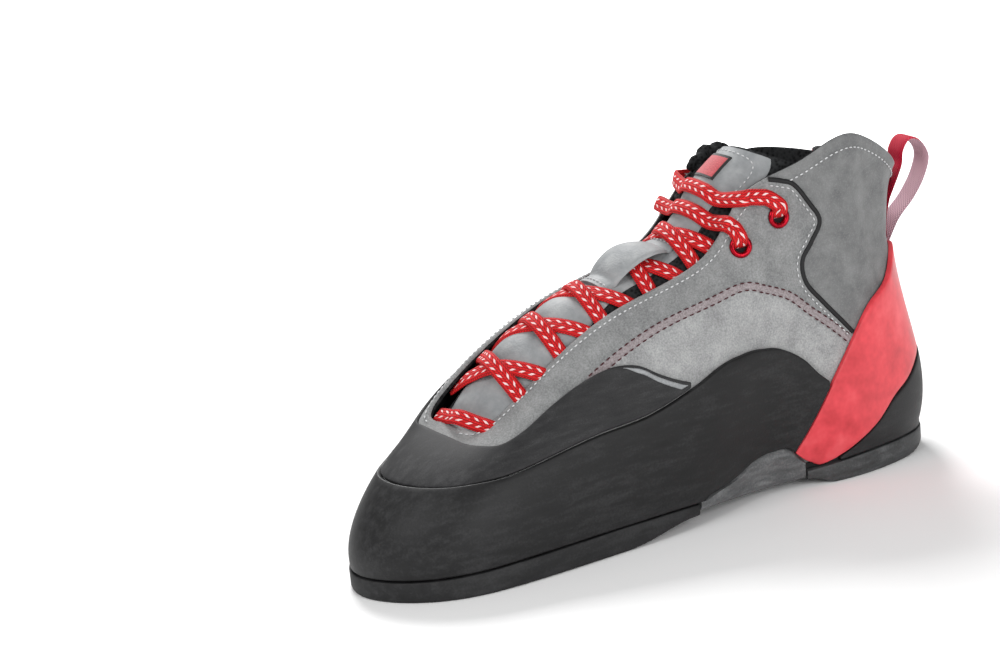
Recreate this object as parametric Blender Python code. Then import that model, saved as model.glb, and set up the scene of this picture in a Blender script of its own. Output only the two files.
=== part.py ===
"""A high-cut lace-up climbing shoe for the left foot.

Metres, +Z up. The toe points to -Y, the heel to +Y, and the outer side of the foot is +X.
The upper is one hollow wall spanned by ribs: each rib rises from the sole's edge to the
topline as one cubic curve, and a ring of sections around the shoe says where the ribs start,
end and bulge. Rubber overlays, tongue, laces and eyelets all take their place from the ribs.
"""

import math
from collections import namedtuple

import bmesh
import bpy
import numpy as np

# Driving dimensions of the last, the outside of the bare upper
last_length = 0.2602
ball_width = 0.091
heel_width = 0.062
collar_height = 0.138
instep_height = 0.095

# Walls and layers
wall = 0.0022
gap = 0.00035
rand_thickness = 0.0020
patch_thickness = 0.0012
band_thickness = 0.0018
midsole_thickness = 0.0022
arch_thickness = 0.0030
insole_thickness = 0.0025
insole_clearance = 0.0008
tongue_thickness = 0.0030
sole_lip = 0.0004
seam_gap = 0.0045

# Laces, eyelets, straps and the tongue's trim
lace_width = 0.0064
lace_thickness = 0.0020
lace_gap = 0.0007
eyelet_radius = 0.0046
eyelet_bore = 0.0024
eyelet_height = 0.0016
loop_width = 0.0120
loop_thickness = 0.0014
keeper_thickness = 0.0012
label_thickness = 0.0008

# How finely the forms are cut
ribs_per_section = 4
rings = 9

Section = namedtuple(
    "Section",
    "place wide tall foot_along foot_across foot_rise top_along top_across top_rise"
    " low_out low_up high_out high_up",
)

# One row for each section around the shoe, from the heel's back by the outer side to the toe
# and back by the inner side. along is a share of last_length from the heel; across and out are
# shares of the named width, rise and up of the named height. foot is the rib's start on the
# sole's edge, top its end on the topline; low and high are the rib's two handles.
sections = (
    Section("heel back", "heel", "collar", -0.002, 0.00, 0.087, 0.008, 0.00, 0.842, 0.20, 0.26, -0.37, -0.26),
    Section("outer heel corner", "heel", "collar", 0.029, 0.332, 0.087, 0.034, 0.300, 0.888, 0.16, 0.24, -0.24, -0.28),
    Section("outer heel side", "heel", "collar", 0.135, 0.480, 0.087, 0.135, 0.452, 1.004, 0.10, 0.20, 0.03, -0.30),
    Section("outer ankle", "heel", "collar", 0.235, 0.455, 0.075, 0.228, 0.400, 0.950, 0.12, 0.16, 0.08, -0.28),
    Section("outer waist", "heel", "collar", 0.335, 0.370, 0.062, 0.327, 0.339, 0.882, 0.16, 0.12, 0.16, -0.24),
    Section("outer midfoot", "ball", "instep", 0.465, 0.352, 0.122, 0.398, 0.198, 1.053, 0.06, 0.24, 0.15, -0.16),
    Section("outer ball", "ball", "instep", 0.620, 0.395, 0.132, 0.554, 0.145, 0.905, 0.03, 0.22, 0.17, -0.10),
    Section("little toe", "ball", "instep", 0.790, 0.412, 0.127, 0.700, 0.121, 0.684, 0.03, 0.20, 0.19, -0.05),
    Section("outer toe corner", "ball", "instep", 0.915, 0.335, 0.117, 0.777, 0.066, 0.542, 0.04, 0.20, 0.24, -0.02),
    Section("toe tip", "ball", "instep", 0.984, 0.050, 0.112, 0.804, -0.055, 0.563, 0.02, 0.18, 0.22, -0.03),
    Section("inner toe corner", "ball", "instep", 0.918, -0.262, 0.117, 0.815, -0.165, 0.595, 0.01, 0.18, 0.04, -0.02),
    Section("big toe joint", "ball", "instep", 0.805, -0.455, 0.127, 0.723, -0.209, 0.768, 0.02, 0.22, 0.10, -0.03),
    Section("inner ball", "ball", "instep", 0.660, -0.505, 0.132, 0.569, -0.236, 0.947, 0.02, 0.26, 0.14, -0.06),
    Section("inner midfoot", "ball", "instep", 0.480, -0.380, 0.190, 0.415, -0.242, 1.070, 0.06, 0.24, 0.14, -0.12),
    Section("inner waist", "heel", "collar", 0.335, -0.390, 0.140, 0.320, -0.380, 0.890, 0.14, 0.14, 0.15, -0.22),
    Section("inner ankle", "heel", "collar", 0.235, -0.430, 0.115, 0.225, -0.430, 0.930, 0.12, 0.16, 0.08, -0.28),
    Section("inner heel side", "heel", "collar", 0.135, -0.470, 0.090, 0.135, -0.438, 0.918, 0.10, 0.20, 0.03, -0.30),
    Section("inner heel corner", "heel", "collar", 0.029, -0.320, 0.087, 0.036, -0.290, 0.865, 0.16, 0.24, -0.24, -0.28),
)
count = len(sections)
toe = count // 2
widths = {"heel": heel_width, "ball": ball_width}
heights = {"collar": collar_height, "instep": instep_height}


def ring_spline(values):
    """Slopes of the smooth closed curve through one value for each section."""
    n = len(values)
    system = 4.0 * np.eye(n) + np.roll(np.eye(n), 1, 1) + np.roll(np.eye(n), -1, 1)
    step = np.roll(values, -1, 0) - np.roll(values, 1, 0)
    return np.linalg.solve(system, 3.0 * step)


def rib_rows():
    """The sections in metres: foot, top and both handles as numbers in one row each."""
    rows = []
    for s in sections:
        w, h = widths[s.wide], heights[s.tall]
        rows.append(
            [
                s.foot_across * w,
                (0.5 - s.foot_along) * last_length,
                s.foot_rise * h,
                s.top_across * w,
                (0.5 - s.top_along) * last_length,
                s.top_rise * h,
                s.low_out * w,
                s.low_up * h,
                s.high_out * w,
                s.high_up * h,
            ]
        )
    return np.array(rows)


ROWS = rib_rows()
SLOPES = ring_spline(ROWS)


def at(place):
    """The rib's numbers and their change along the ring, at a place counted in sections."""
    k = int(math.floor(place)) % count
    f = place - math.floor(place)
    a, b = ROWS[k], ROWS[(k + 1) % count]
    da, db = SLOPES[k], SLOPES[(k + 1) % count]
    value = (
        (2 * f**3 - 3 * f**2 + 1) * a
        + (f**3 - 2 * f**2 + f) * da
        + (3 * f**2 - 2 * f**3) * b
        + (f**3 - f**2) * db
    )
    change = (
        (6 * f**2 - 6 * f) * a + (3 * f**2 - 4 * f + 1) * da + (6 * f - 6 * f**2) * b + (3 * f**2 - 2 * f) * db
    )
    return value, change


def outward(place):
    """The level direction square to the sole's edge, pointing out of the shoe."""
    change = at(place)[1]
    d = np.array([-change[1], change[0], 0.0])
    return d / np.linalg.norm(d)


def rib_point(place, t):
    """The bare upper's outer surface: place around the shoe, t from sole edge 0 to topline 1.

    Below the sole's edge the surface goes straight down, a tenth of a metre for each unit of t.
    """
    v = at(place)[0]
    out = outward(place)
    foot, top = v[0:3], v[3:6]
    if t < 0.0:
        return foot + np.array([0, 0, 0.1 * t])
    low = foot + out * v[6] + np.array([0, 0, v[7]])
    high = top + out * v[8] + np.array([0, 0, v[9]])
    s = 1.0 - t
    return s**3 * foot + 3 * s * s * t * low + 3 * s * t * t * high + t**3 * top


def rib_normal(place, t):
    """The outer surface's direction out of the shoe, turning level toward the sole's edge."""
    level = outward(place)
    if t <= 0.0:
        return level
    e = 0.004
    u = max(t, 0.1)
    along = rib_point(place + e, u) - rib_point(place - e, u)
    up = rib_point(place, u + e) - rib_point(place, u - e)
    n = np.cross(up, along)
    n = n / np.linalg.norm(n)
    if t < 0.1:
        n = level + (n - level) * (t / 0.1)
    return n / np.linalg.norm(n)


def layer(place, t, out):
    """A point at a distance out of the bare upper's outer surface."""
    return rib_point(place, t) + rib_normal(place, t) * out


def foot_point(place, out, rise):
    """A point level with the sole's edge: out from it, and rise above it."""
    return rib_point(place, 0.0) + outward(place) * out + np.array([0, 0, rise])


Edge = namedtuple("Edge", "place height")
below_foot = -1000.0 * (midsole_thickness + 2 * gap)

# Where the layers end on the last: place is counted in sections from the heel's back, less than
# zero on the inner side; height is the share of the rib, and ten times metres below its foot.
sole_line = (
    Edge(-5.00, -0.020),
    Edge(-4.50, -0.010),
    Edge(-3.90, 0.000),
    Edge(-3.30, -0.010),
    Edge(-3.00, -0.020),
    Edge(3.10, -0.020),
    Edge(3.30, 0.030),
    Edge(3.50, 0.115),
    Edge(3.90, 0.150),
    Edge(4.25, 0.130),
    Edge(4.70, 0.020),
    Edge(5.00, -0.020),
)
band_top = (
    Edge(-4.75, -0.004),
    Edge(-4.50, 0.035),
    Edge(-4.00, 0.135),
    Edge(-3.50, 0.225),
    Edge(-3.00, 0.310),
    Edge(-2.50, 0.400),
    Edge(-2.00, 0.490),
    Edge(-1.60, 0.580),
    Edge(-1.20, 0.665),
    Edge(0.00, 0.690),
    Edge(1.20, 0.680),
    Edge(1.60, 0.570),
    Edge(2.12, 0.490),
    Edge(2.50, 0.400),
    Edge(2.80, 0.320),
    Edge(3.12, 0.220),
    Edge(3.45, 0.115),
)
band_foot = (
    Edge(-4.75, -0.015),
    Edge(-4.00, -0.005),
    Edge(-3.30, 0.000),
    Edge(-2.80, 0.040),
    Edge(-2.20, 0.110),
    Edge(-1.60, 0.200),
    Edge(-1.00, 0.270),
    Edge(0.00, 0.300),
    Edge(1.08, 0.270),
    Edge(1.40, 0.215),
    Edge(1.71, 0.170),
    Edge(1.96, 0.105),
    Edge(2.30, 0.045),
    Edge(2.83, -0.015),
    Edge(3.10, -0.013),
    Edge(3.30, 0.040),
    Edge(3.45, 0.100),
)
rand_top = (
    Edge(2.80, 0.320),
    Edge(3.00, 0.370),
    Edge(3.20, 0.430),
    Edge(3.60, 0.500),
    Edge(4.10, 0.530),
    Edge(4.55, 0.535),
    Edge(4.96, 0.520),
    Edge(5.25, 0.480),
    Edge(5.75, 0.435),
    Edge(6.30, 0.450),
    Edge(7.30, 0.480),
    Edge(7.80, 0.515),
    Edge(9.00, 0.530),
    Edge(10.20, 0.515),
    Edge(11.00, 0.480),
    Edge(12.20, 0.440),
    Edge(12.75, 0.470),
    Edge(13.10, 0.510),
    Edge(13.60, 0.530),
    Edge(14.20, 0.510),
    Edge(14.80, 0.440),
    Edge(15.20, 0.365),
)
patch_top = (
    Edge(5.25, 0.490),
    Edge(5.42, 0.520),
    Edge(5.67, 0.585),
    Edge(5.85, 0.650),
    Edge(6.10, 0.705),
    Edge(6.40, 0.730),
    Edge(6.80, 0.730),
    Edge(7.20, 0.705),
    Edge(7.50, 0.715),
    Edge(7.90, 0.800),
    Edge(8.40, 0.875),
    Edge(9.00, 0.895),
    Edge(9.60, 0.880),
    Edge(10.10, 0.800),
    Edge(10.50, 0.720),
    Edge(11.20, 0.720),
    Edge(11.70, 0.715),
    Edge(12.10, 0.640),
    Edge(12.40, 0.560),
    Edge(12.75, 0.490),
)


def along_edge(edge, place):
    """The height of a layer's edge at a place, smooth between the rows of its table."""
    xs = np.array([e.place for e in edge])
    ys = np.array([e.height for e in edge])
    slopes = np.gradient(ys, xs)
    if place <= xs[0]:
        return ys[0]
    if place >= xs[-1]:
        return ys[-1]
    k = int(np.searchsorted(xs, place)) - 1
    wide = xs[k + 1] - xs[k]
    f = (place - xs[k]) / wide
    return (
        (2 * f**3 - 3 * f**2 + 1) * ys[k]
        + (f**3 - 2 * f**2 + f) * slopes[k] * wide
        + (3 * f**2 - 2 * f**3) * ys[k + 1]
        + (f**3 - f**2) * slopes[k + 1] * wide
    )


def inner_side(place):
    """A place past the toe written as less than zero, as the heel's tables count it."""
    return place - count if place > toe else place


def rubber_line(place):
    """The top edge of the sole's rubber."""
    p = inner_side(place)
    if p < sole_line[0].place or p > sole_line[-1].place:
        return below_foot / 100
    if sole_line[4].place < p < sole_line[5].place:
        return below_foot / 100
    return along_edge(sole_line, p)


# Sole pieces and the keeper, in sections from the toe
outsole_steps = 3.88
heel_steps = 5.75
outsole_end = 0.0045
outsole_taper = 0.88
outsole_edge_up = 0.0016
outsole_edge_in = 0.0012
heel_front = 0.0036
heel_ramp = 0.50
heel_back_from = 7.6
heel_back_lift = 0.0040
heel_back_in = 0.0045
heel_edge_up = 0.0022
arch_edge_in = 0.0020
arch_front_gap = 0.030
arch_back_gap = 0.036
arch_side_low = -0.020
insole_end = 0.5
keeper_from = 3.28
keeper_to = 3.88
keeper_rise = 0.0058
label_from = 5.22
label_to = 5.74

# How far a layer's cutter reaches out of the upper and into it
cutter_out = 0.0060
cutter_in = -0.0010


def loft(name, loops, ring=False):
    """A closed body through closed loops of equal length; ring joins the last loop to the first."""
    loops = [list(loop) + [loop[0]] for loop in loops]
    if ring:
        loops.append(loops[0])
    bm = bmesh.new()
    bmesh.ops.create_grid(bm, x_segments=len(loops[0]) - 1, y_segments=len(loops) - 1, size=1.0)
    bm.verts.ensure_lookup_table()
    wide = len(loops[0])
    for j, loop in enumerate(loops):
        for i, p in enumerate(loop):
            bm.verts[j * wide + i].co = p
    bmesh.ops.remove_doubles(bm, verts=bm.verts, dist=1e-6)
    if not ring:
        open_edges = [e for e in bm.edges if e.is_boundary]
        if open_edges:
            bmesh.ops.holes_fill(bm, edges=open_edges)
    bmesh.ops.triangulate(bm, faces=bm.faces, quad_method="SHORT_EDGE")
    bmesh.ops.recalc_face_normals(bm, faces=bm.faces)
    mesh = bpy.data.meshes.new(name)
    bm.to_mesh(mesh)
    bm.free()
    made = bpy.data.objects.new(name, mesh)
    bpy.context.scene.collection.objects.link(made)
    return made


def cut(part, tool, operation):
    """Cuts a part with a tool body, exactly, and puts the tool away."""
    step = part.modifiers.new(operation.lower(), "BOOLEAN")
    step.operation = operation
    step.solver = "EXACT"
    step.object = tool
    graph = bpy.context.evaluated_depsgraph_get()
    mesh = bpy.data.meshes.new_from_object(part.evaluated_get(graph))
    part.modifiers.clear()
    old = part.data
    part.data = mesh
    bpy.data.meshes.remove(old)
    bpy.data.objects.remove(tool, do_unlink=True)
    bm = bmesh.new()
    bm.from_mesh(mesh)
    bmesh.ops.remove_doubles(bm, verts=bm.verts, dist=1e-5)
    bmesh.ops.dissolve_limit(bm, angle_limit=math.radians(1.6), verts=bm.verts, edges=bm.edges)
    bmesh.ops.dissolve_degenerate(bm, edges=bm.edges, dist=1e-5)
    bmesh.ops.triangulate(bm, faces=bm.faces)
    bmesh.ops.recalc_face_normals(bm, faces=bm.faces)
    bm.to_mesh(mesh)
    bm.free()


def smooth_step(x):
    """From 0 to 1 with level ends."""
    x = min(1.0, max(0.0, x))
    return x * x * (3.0 - 2.0 * x)


def build_upper():
    """The hollow wall, open under the foot and along throat and collar."""
    rib_places = [k / ribs_per_section for k in range(count * ribs_per_section)]
    steps = [k / rings for k in range(rings + 1)]
    loops = []
    for t in steps:
        loops.append([layer(p, t, 0.0) for p in rib_places])
    for t in reversed(steps):
        loops.append([layer(p, t, -wall) for p in rib_places])
    return loft("upper", loops, ring=True)


def shell(name, thickness):
    """A layer all around the bare upper, one gap clear of it, still to be cut to its edges."""
    rib_places = [k / ribs_per_section for k in range(count * ribs_per_section)]
    steps = [below_foot / 100 * 0.96, 0.0] + [k / rings for k in range(1, rings + 1)]
    loops = []
    for t in steps:
        loops.append([layer(p, t, gap + thickness) for p in rib_places])
    for t in reversed(steps):
        loops.append([layer(p, t, gap) for p in rib_places])
    return loft(name, loops, ring=True)


def zone(first, last, low, high):
    """The cutter that keeps a layer between two edges and two places."""
    loops = []
    for p in strip_steps(first, last):
        a, b = low(p), high(p)
        heights = [a + (b - a) * j / 6 for j in range(7)]
        outer = [layer(p, t, cutter_out) for t in heights]
        inner = [layer(p, t, cutter_in) for t in reversed(heights)]
        loops.append(outer + inner)
    return loft("zone", loops)


def clear_of(height):
    """The next layer's edge, one seam away from this height."""
    if height < 0.0:
        return height + seam_gap * 0.8
    return height + seam_gap


def build_overlays():
    """Toe patch, side rand, heel band and heel rand: rubber layers cut to their edges."""

    def rand_low(p):
        q = inner_side(p)
        low = rubber_line(p)
        if q < 0.0:
            low = max(low, along_edge(band_top, q)) if q >= band_top[0].place else low
        elif q < band_top[-1].place:
            low = along_edge(band_top, q)
        return clear_of(low)

    rand = shell("side_rand", rand_thickness)
    cut(rand, zone(2.86, 15.12, rand_low, lambda p: along_edge(rand_top, p)), "INTERSECT")

    patch = shell("toe_patch", patch_thickness)
    low = lambda p: clear_of(along_edge(rand_top, p))
    cut(patch, zone(5.32, 12.68, low, lambda p: along_edge(patch_top, p)), "INTERSECT")

    band = shell("heel_band", band_thickness)
    low = lambda p: max(along_edge(band_foot, p), clear_of(rubber_line(p)))
    cut(band, zone(-4.75, 3.45, low, lambda p: along_edge(band_top, p)), "INTERSECT")

    heel = shell("heel_rand", rand_thickness)
    low = lambda p: clear_of(rubber_line(p))
    high = lambda p: along_edge(band_foot, p) - seam_gap
    cut(heel, zone(-3.05, 2.68, low, high), "INTERSECT")
    return rand, patch, band, heel


side_out = gap + rand_thickness + sole_lip
sole_top = -(midsole_thickness + 2 * gap)


def sole_strip(steps, rows):
    """A loop across the foot, from the outer side's top to the inner side's top."""
    outer, inner = toe - steps, toe + steps
    left = [foot_point(outer, out, rise) for out, rise in rows(outer)]
    right = [foot_point(inner, out, rise) for out, rise in rows(inner)]
    return left + right[::-1]


def strip_steps(first, last):
    """Steps from the toe, in sections, with a strip at each rib and at both ends."""
    k0 = math.ceil(first * ribs_per_section + 1e-6)
    k1 = math.floor(last * ribs_per_section - 1e-6)
    return [first] + [k / ribs_per_section for k in range(k0, k1 + 1)] + [last]


def foot_rise(place):
    return at(place)[0][2]


def rise_across(place, inset):
    """How far the line across to the foot's other edge has risen at an inset from this edge."""
    here, there = rib_point(place, 0.0), rib_point(2 * toe - place, 0.0)
    return (there[2] - here[2]) * inset / max(inset, np.linalg.norm(here[0:2] - there[0:2]))


def build_sole():
    """Midsole, forefoot outsole with its end step, the cradle under the arch, heel and insole."""

    def midsole_rows(place):
        return [(-wall, -gap), (0.0, -gap), (0.0, -gap - midsole_thickness)]

    midsole = loft("midsole", [sole_strip(s, midsole_rows) for s in strip_steps(0.0, toe)])

    def insole_rows(place):
        inset = wall + insole_clearance
        lift = rise_across(place, insole_clearance)
        return [(-inset, lift + insole_thickness), (-inset, lift)]

    insole = loft("insole", [sole_strip(s, insole_rows) for s in strip_steps(insole_end, toe - insole_end)])

    def outsole_rows(place):
        rise = foot_rise(place)
        end = smooth_step((abs(place - toe) - outsole_steps + outsole_taper) / outsole_taper)
        bottom = end * (rise + sole_top - outsole_end)
        under = [(side_out, bottom + outsole_edge_up - rise), (side_out - outsole_edge_in, bottom - rise)]
        return [(0.0, sole_top), (side_out, sole_top)] + under

    outsole = loft("outsole", [sole_strip(s, outsole_rows) for s in strip_steps(0.0, outsole_steps)])

    def heel_rows(place):
        rise = foot_rise(place)
        steps = abs(place - toe)
        back = smooth_step((steps - heel_back_from) / (toe - heel_back_from))
        front = 1.0 - smooth_step((steps - heel_steps) / heel_ramp)
        bottom = heel_back_lift * back + front * (rise + sole_top - heel_front)
        inset = outsole_edge_in + heel_back_in * back
        under = [(side_out, bottom + heel_edge_up - rise), (side_out - inset, bottom - rise)]
        return [(0.0, sole_top), (side_out, sole_top)] + under

    heel = loft("heel_sole", [sole_strip(s, heel_rows) for s in strip_steps(heel_steps, toe)])

    loops = []
    for s in strip_steps(outsole_steps + arch_front_gap, heel_steps - arch_back_gap):
        skin, lining = [], []
        for place, flip in ((toe - s, False), (toe + s, True)):
            top = max(rubber_line(place), arch_side_low)
            heights = [top + (below_foot / 100 - top) * k / 3 for k in range(4)]
            side = [layer(place, t, side_out) for t in heights]
            side.append(foot_point(place, side_out - arch_edge_in, sole_top - arch_thickness))
            inside = [layer(place, t, gap) for t in heights]
            skin += side[::-1] if flip else side
            lining += inside[::-1] if flip else inside
        loops.append(skin + lining[::-1])
    arch = loft("arch_cradle", loops)
    return midsole, insole, outsole, heel, arch


TongueRow = namedtuple("TongueRow", "name steps height depth crown_fore crown_up")

# The tongue's rows from the throat's front to its top. steps counts sections from the toe on
# both sides, height is the share of the rib where the edges tuck in, depth their distance in
# from the last, and the crown lifts the middle, all in metres.
tongue_table = (
    TongueRow("front edge", 0.30, 0.930, 0.0056, 0.0000, 0.0000),
    TongueRow("first bar", 1.20, 0.930, 0.0066, 0.0000, 0.0004),
    TongueRow("past the bar", 1.60, 0.930, 0.0068, 0.0010, 0.0030),
    TongueRow("toe crossing", 2.00, 0.925, 0.0066, 0.0020, 0.0062),
    TongueRow("ball crossing", 3.00, 0.920, 0.0056, 0.0030, 0.0085),
    TongueRow("keeper", 3.60, 0.920, 0.0056, 0.0030, 0.0090),
    TongueRow("notch", 4.00, 0.930, 0.0056, 0.0035, 0.0095),
    TongueRow("lower eyelets", 4.50, 0.930, 0.0058, 0.0055, 0.0090),
    TongueRow("flap", 5.00, 0.940, 0.0058, 0.0075, 0.0085),
    TongueRow("ankle", 5.50, 0.970, 0.0058, 0.0110, 0.0070),
    TongueRow("top edge", 6.00, 1.000, 0.0056, 0.0140, 0.0080),
)


def tongue_frames():
    """For each row: the middle between its edges, half the way across, and the crown."""
    frames = []
    for row in tongue_table:
        near = layer(toe - row.steps, row.height, -row.depth)
        far = layer(toe + row.steps, row.height, -row.depth)
        crown = np.array([0.0, -row.crown_fore, row.crown_up])
        frames.append(np.concatenate([(near + far) / 2, (near - far) / 2, crown]))
    return np.array(frames)


TONGUE = tongue_frames()
TONGUE_STEPS = np.array([row.steps for row in tongue_table])
TONGUE_SLOPES = np.gradient(TONGUE, TONGUE_STEPS, axis=0)


def tongue_middle(steps, across):
    """The tongue's middle sheet: steps from the toe, across from -1 inner to 1 outer edge."""
    k = min(len(TONGUE_STEPS) - 2, max(0, int(np.searchsorted(TONGUE_STEPS, steps)) - 1))
    wide = TONGUE_STEPS[k + 1] - TONGUE_STEPS[k]
    f = (steps - TONGUE_STEPS[k]) / wide
    v = (
        (2 * f**3 - 3 * f**2 + 1) * TONGUE[k]
        + (f**3 - 2 * f**2 + f) * TONGUE_SLOPES[k] * wide
        + (3 * f**2 - 2 * f**3) * TONGUE[k + 1]
        + (f**3 - f**2) * TONGUE_SLOPES[k + 1] * wide
    )
    return v[0:3] + v[3:6] * across + v[6:9] * (1.0 - across**2)


def tongue_normal(steps, across):
    e = 0.01
    up = tongue_middle(steps + e, across) - tongue_middle(steps - e, across)
    over = tongue_middle(steps, across + e) - tongue_middle(steps, across - e)
    n = np.cross(up, over)
    n = n / np.linalg.norm(n)
    return n if n[2] - n[1] > 0 else -n


def on_tongue(steps, across, out):
    """A point at a distance out of the tongue's outer face."""
    return tongue_middle(steps, across) + tongue_normal(steps, across) * (tongue_thickness / 2 + out)


def sheet(name, steps, across, low, high):
    """A padded sheet on the tongue between two heights that depend on its own steps."""
    loops = []
    for s in steps:
        top = [on_tongue(s, a, high(s)) for a in across]
        under = [on_tongue(s, a, low(s)) for a in reversed(across)]
        loops.append(top + under)
    return loft(name, loops)


def spread(first, last, pieces):
    return [first + (last - first) * k / pieces for k in range(pieces + 1)]


def build_tongue():
    """The tongue with its lace keeper and the bare label near its top."""
    thin = lambda s: -tongue_thickness
    tongue = sheet("tongue", spread(0.30, 6.00, 12), spread(-1.0, 1.0, 6), thin, lambda s: 0.0)

    def keeper_low(s):
        x = (s - keeper_from) / (keeper_to - keeper_from)
        return lace_gap + keeper_rise * math.sin(math.pi * x) ** 0.7 if 0.0 < x < 1.0 else lace_gap

    keeper = sheet(
        "lace_keeper",
        spread(keeper_from, keeper_to, 6),
        spread(-0.50, 0.34, 4),
        keeper_low,
        lambda s: keeper_low(s) + keeper_thickness,
    )
    label = sheet(
        "tongue_label",
        spread(label_from, label_to, 3),
        spread(-0.36, 0.30, 4),
        lambda s: gap,
        lambda s: gap + label_thickness,
    )
    return tongue, keeper, label


def strap(name, points, normals, width, thickness):
    """A flat oval lace swept along points, its face turned to the normals."""
    loops = []
    for k, p in enumerate(points):
        ahead = points[min(k + 1, len(points) - 1)]
        behind = points[max(k - 1, 0)]
        run = (ahead - behind) / np.linalg.norm(ahead - behind)
        side = np.cross(normals[k], run)
        side = side / np.linalg.norm(side)
        face = np.cross(run, side)
        loop = []
        for c, h in ((0.5, 0.0), (0.38, 0.5), (-0.38, 0.5), (-0.5, 0.0), (-0.38, -0.5), (0.38, -0.5)):
            loop.append(p + side * (c * width) + face * (h * thickness))
        loops.append(loop)
    return loft(name, loops)


Crossing = namedtuple("Crossing", "name inner_low inner_high outer_low outer_high stand arch")

# Where each crossing's strands leave the throat's inner and outer side, in steps from the toe.
# stand is their height off the tongue at the sides, arch what their middle adds, in metres.
crossings = (
    Crossing("lace_cross_2", 1.78, 2.06, 1.90, 2.18, 0.0019, 0.0014),
    Crossing("lace_cross_3", 2.34, 2.60, 2.48, 2.74, 0.0009, 0.0),
    Crossing("lace_cross_4", 2.84, 3.08, 2.96, 3.20, lace_gap, 0.0),
    Crossing("lace_cross_5", 3.40, 3.66, 3.46, 3.72, lace_gap, 0.0),
    Crossing("lace_cross_6", 3.96, 4.22, 3.98, 4.24, lace_gap, 0.0),
)
bar_reach = 0.56
bar_stand = 0.0034
bar_arch = 0.0034
strand_reach = 0.68


def strand(name, inner, outer, stand, arch, reach=strand_reach):
    """One lace strand across the tongue, its ends at one height and its middle arched higher."""
    points, normals = [], []
    for k in range(7):
        f = k / 6
        a = reach * (2 * f - 1)
        s = inner + (outer - inner) * f
        high = stand + lace_thickness / 2 + arch * math.sin(math.pi * f) ** 2
        points.append(on_tongue(s, a, high))
        normals.append(tongue_normal(s, a))
    return strap(name, points, normals, lace_width, lace_thickness)


TopStrand = namedtuple("TopStrand", "name eye edge middle")

# The lace's top strands: the eyelet's place, where it leaves the flap, and its step on the tongue
top_strands = (
    TopStrand("lace_strand_7", 4.29, 4.44, 4.58),
    TopStrand("lace_strand_8", 3.42, 4.02, 4.98),
)
eyelet_line = 0.872
flap_start = 0.958
flap_lift = 0.0018
tongue_lift = 0.0003


def build_laces():
    """The front bar, five crossings, and two strands over the flaps up to their eyelets."""
    laces = [strand("lace_bar_1", 1.18, 1.34, bar_stand, bar_arch, bar_reach)]
    for row in crossings:
        under = strand(row.name, row.inner_low, row.outer_high, row.stand, row.arch)
        over = strand("over", row.inner_high, row.outer_low, row.stand, row.arch + lace_thickness * 1.02)
        cut(under, over, "UNION")
        laces.append(under)
    high = lace_gap + lace_thickness / 2
    for name, eye, edge, middle in top_strands:
        points, normals = [], []
        for side in (1, -1):
            rows = []
            for f in (0.0, 0.45, 0.8, 1.0):
                p = eye + (edge - eye) * f
                t = flap_start + (1.0 - flap_start) * f
                p = p if side > 0 else -p
                rise = high + flap_lift * f**3
                rows.append((layer(p, t, rise), rib_normal(p, t)))
            for a in (0.62, 0.32):
                s = middle
                lift = high + tongue_lift
                rows.append((on_tongue(s, a * side, lift), tongue_normal(s, a * side)))
            if side > 0:
                rows.append((on_tongue(middle, 0.0, high), tongue_normal(middle, 0.0)))
            rows = rows if side > 0 else rows[::-1]
            points += [r[0] for r in rows]
            normals += [r[1] for r in rows]
        laces.append(strap(name, points, normals, lace_width, lace_thickness))
    return laces


def build_eyelet(name, place, height):
    """A flanged ring seated on the flap, its faces following the surface."""
    e = 0.01
    along = rib_point(place + e, height) - rib_point(place - e, height)
    up = rib_point(place, height + e) - rib_point(place, height - e)
    along_scale = np.linalg.norm(along) / (2 * e)
    up_scale = np.linalg.norm(up) / (2 * e)
    skew = np.dot(along, up) / (np.linalg.norm(along) * np.linalg.norm(up))
    loops = []
    for k in range(12):
        angle = 2 * math.pi * k / 12
        loop = []
        for radius, out in (
            (eyelet_bore, gap),
            (eyelet_radius, gap),
            (eyelet_radius, gap + 0.6 * eyelet_height),
            (eyelet_bore, gap + eyelet_height),
        ):
            x, y = radius * math.cos(angle), radius * math.sin(angle)
            y = y / math.sqrt(1 - skew * skew)
            p = place + (x - y * skew) / along_scale
            t = height + y / up_scale
            loop.append(layer(p, t, out))
        loops.append(loop)
    return loft(name, loops, ring=True)


LoopRow = namedtuple("LoopRow", "name out rise")

# The loops' places on the heel and half widths, in sections, and the inner one's lesser size
outer_loop_place = 0.42
outer_loop_half = 0.27
outer_loop_away = np.array([0.06, 1.0, 0.0])
inner_loop_place = -1.15
inner_loop_half = 0.22
inner_loop_size = 0.8
inner_loop_drop = 0.006

# The free part of a pull loop: out from the heel in metres, rise as a share of collar_height.
loop_rows = (
    LoopRow("leaves the heel", 0.0050, 0.700),
    LoopRow("lower run", 0.0130, 0.755),
    LoopRow("outer run", 0.0190, 0.815),
    LoopRow("end", 0.0215, 0.875),
    LoopRow("upper end", 0.0175, 0.922),
    LoopRow("crest", 0.0125, 0.932),
    LoopRow("falls back", 0.0090, 0.902),
    LoopRow("clears the collar", 0.0076, 0.855),
)


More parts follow.
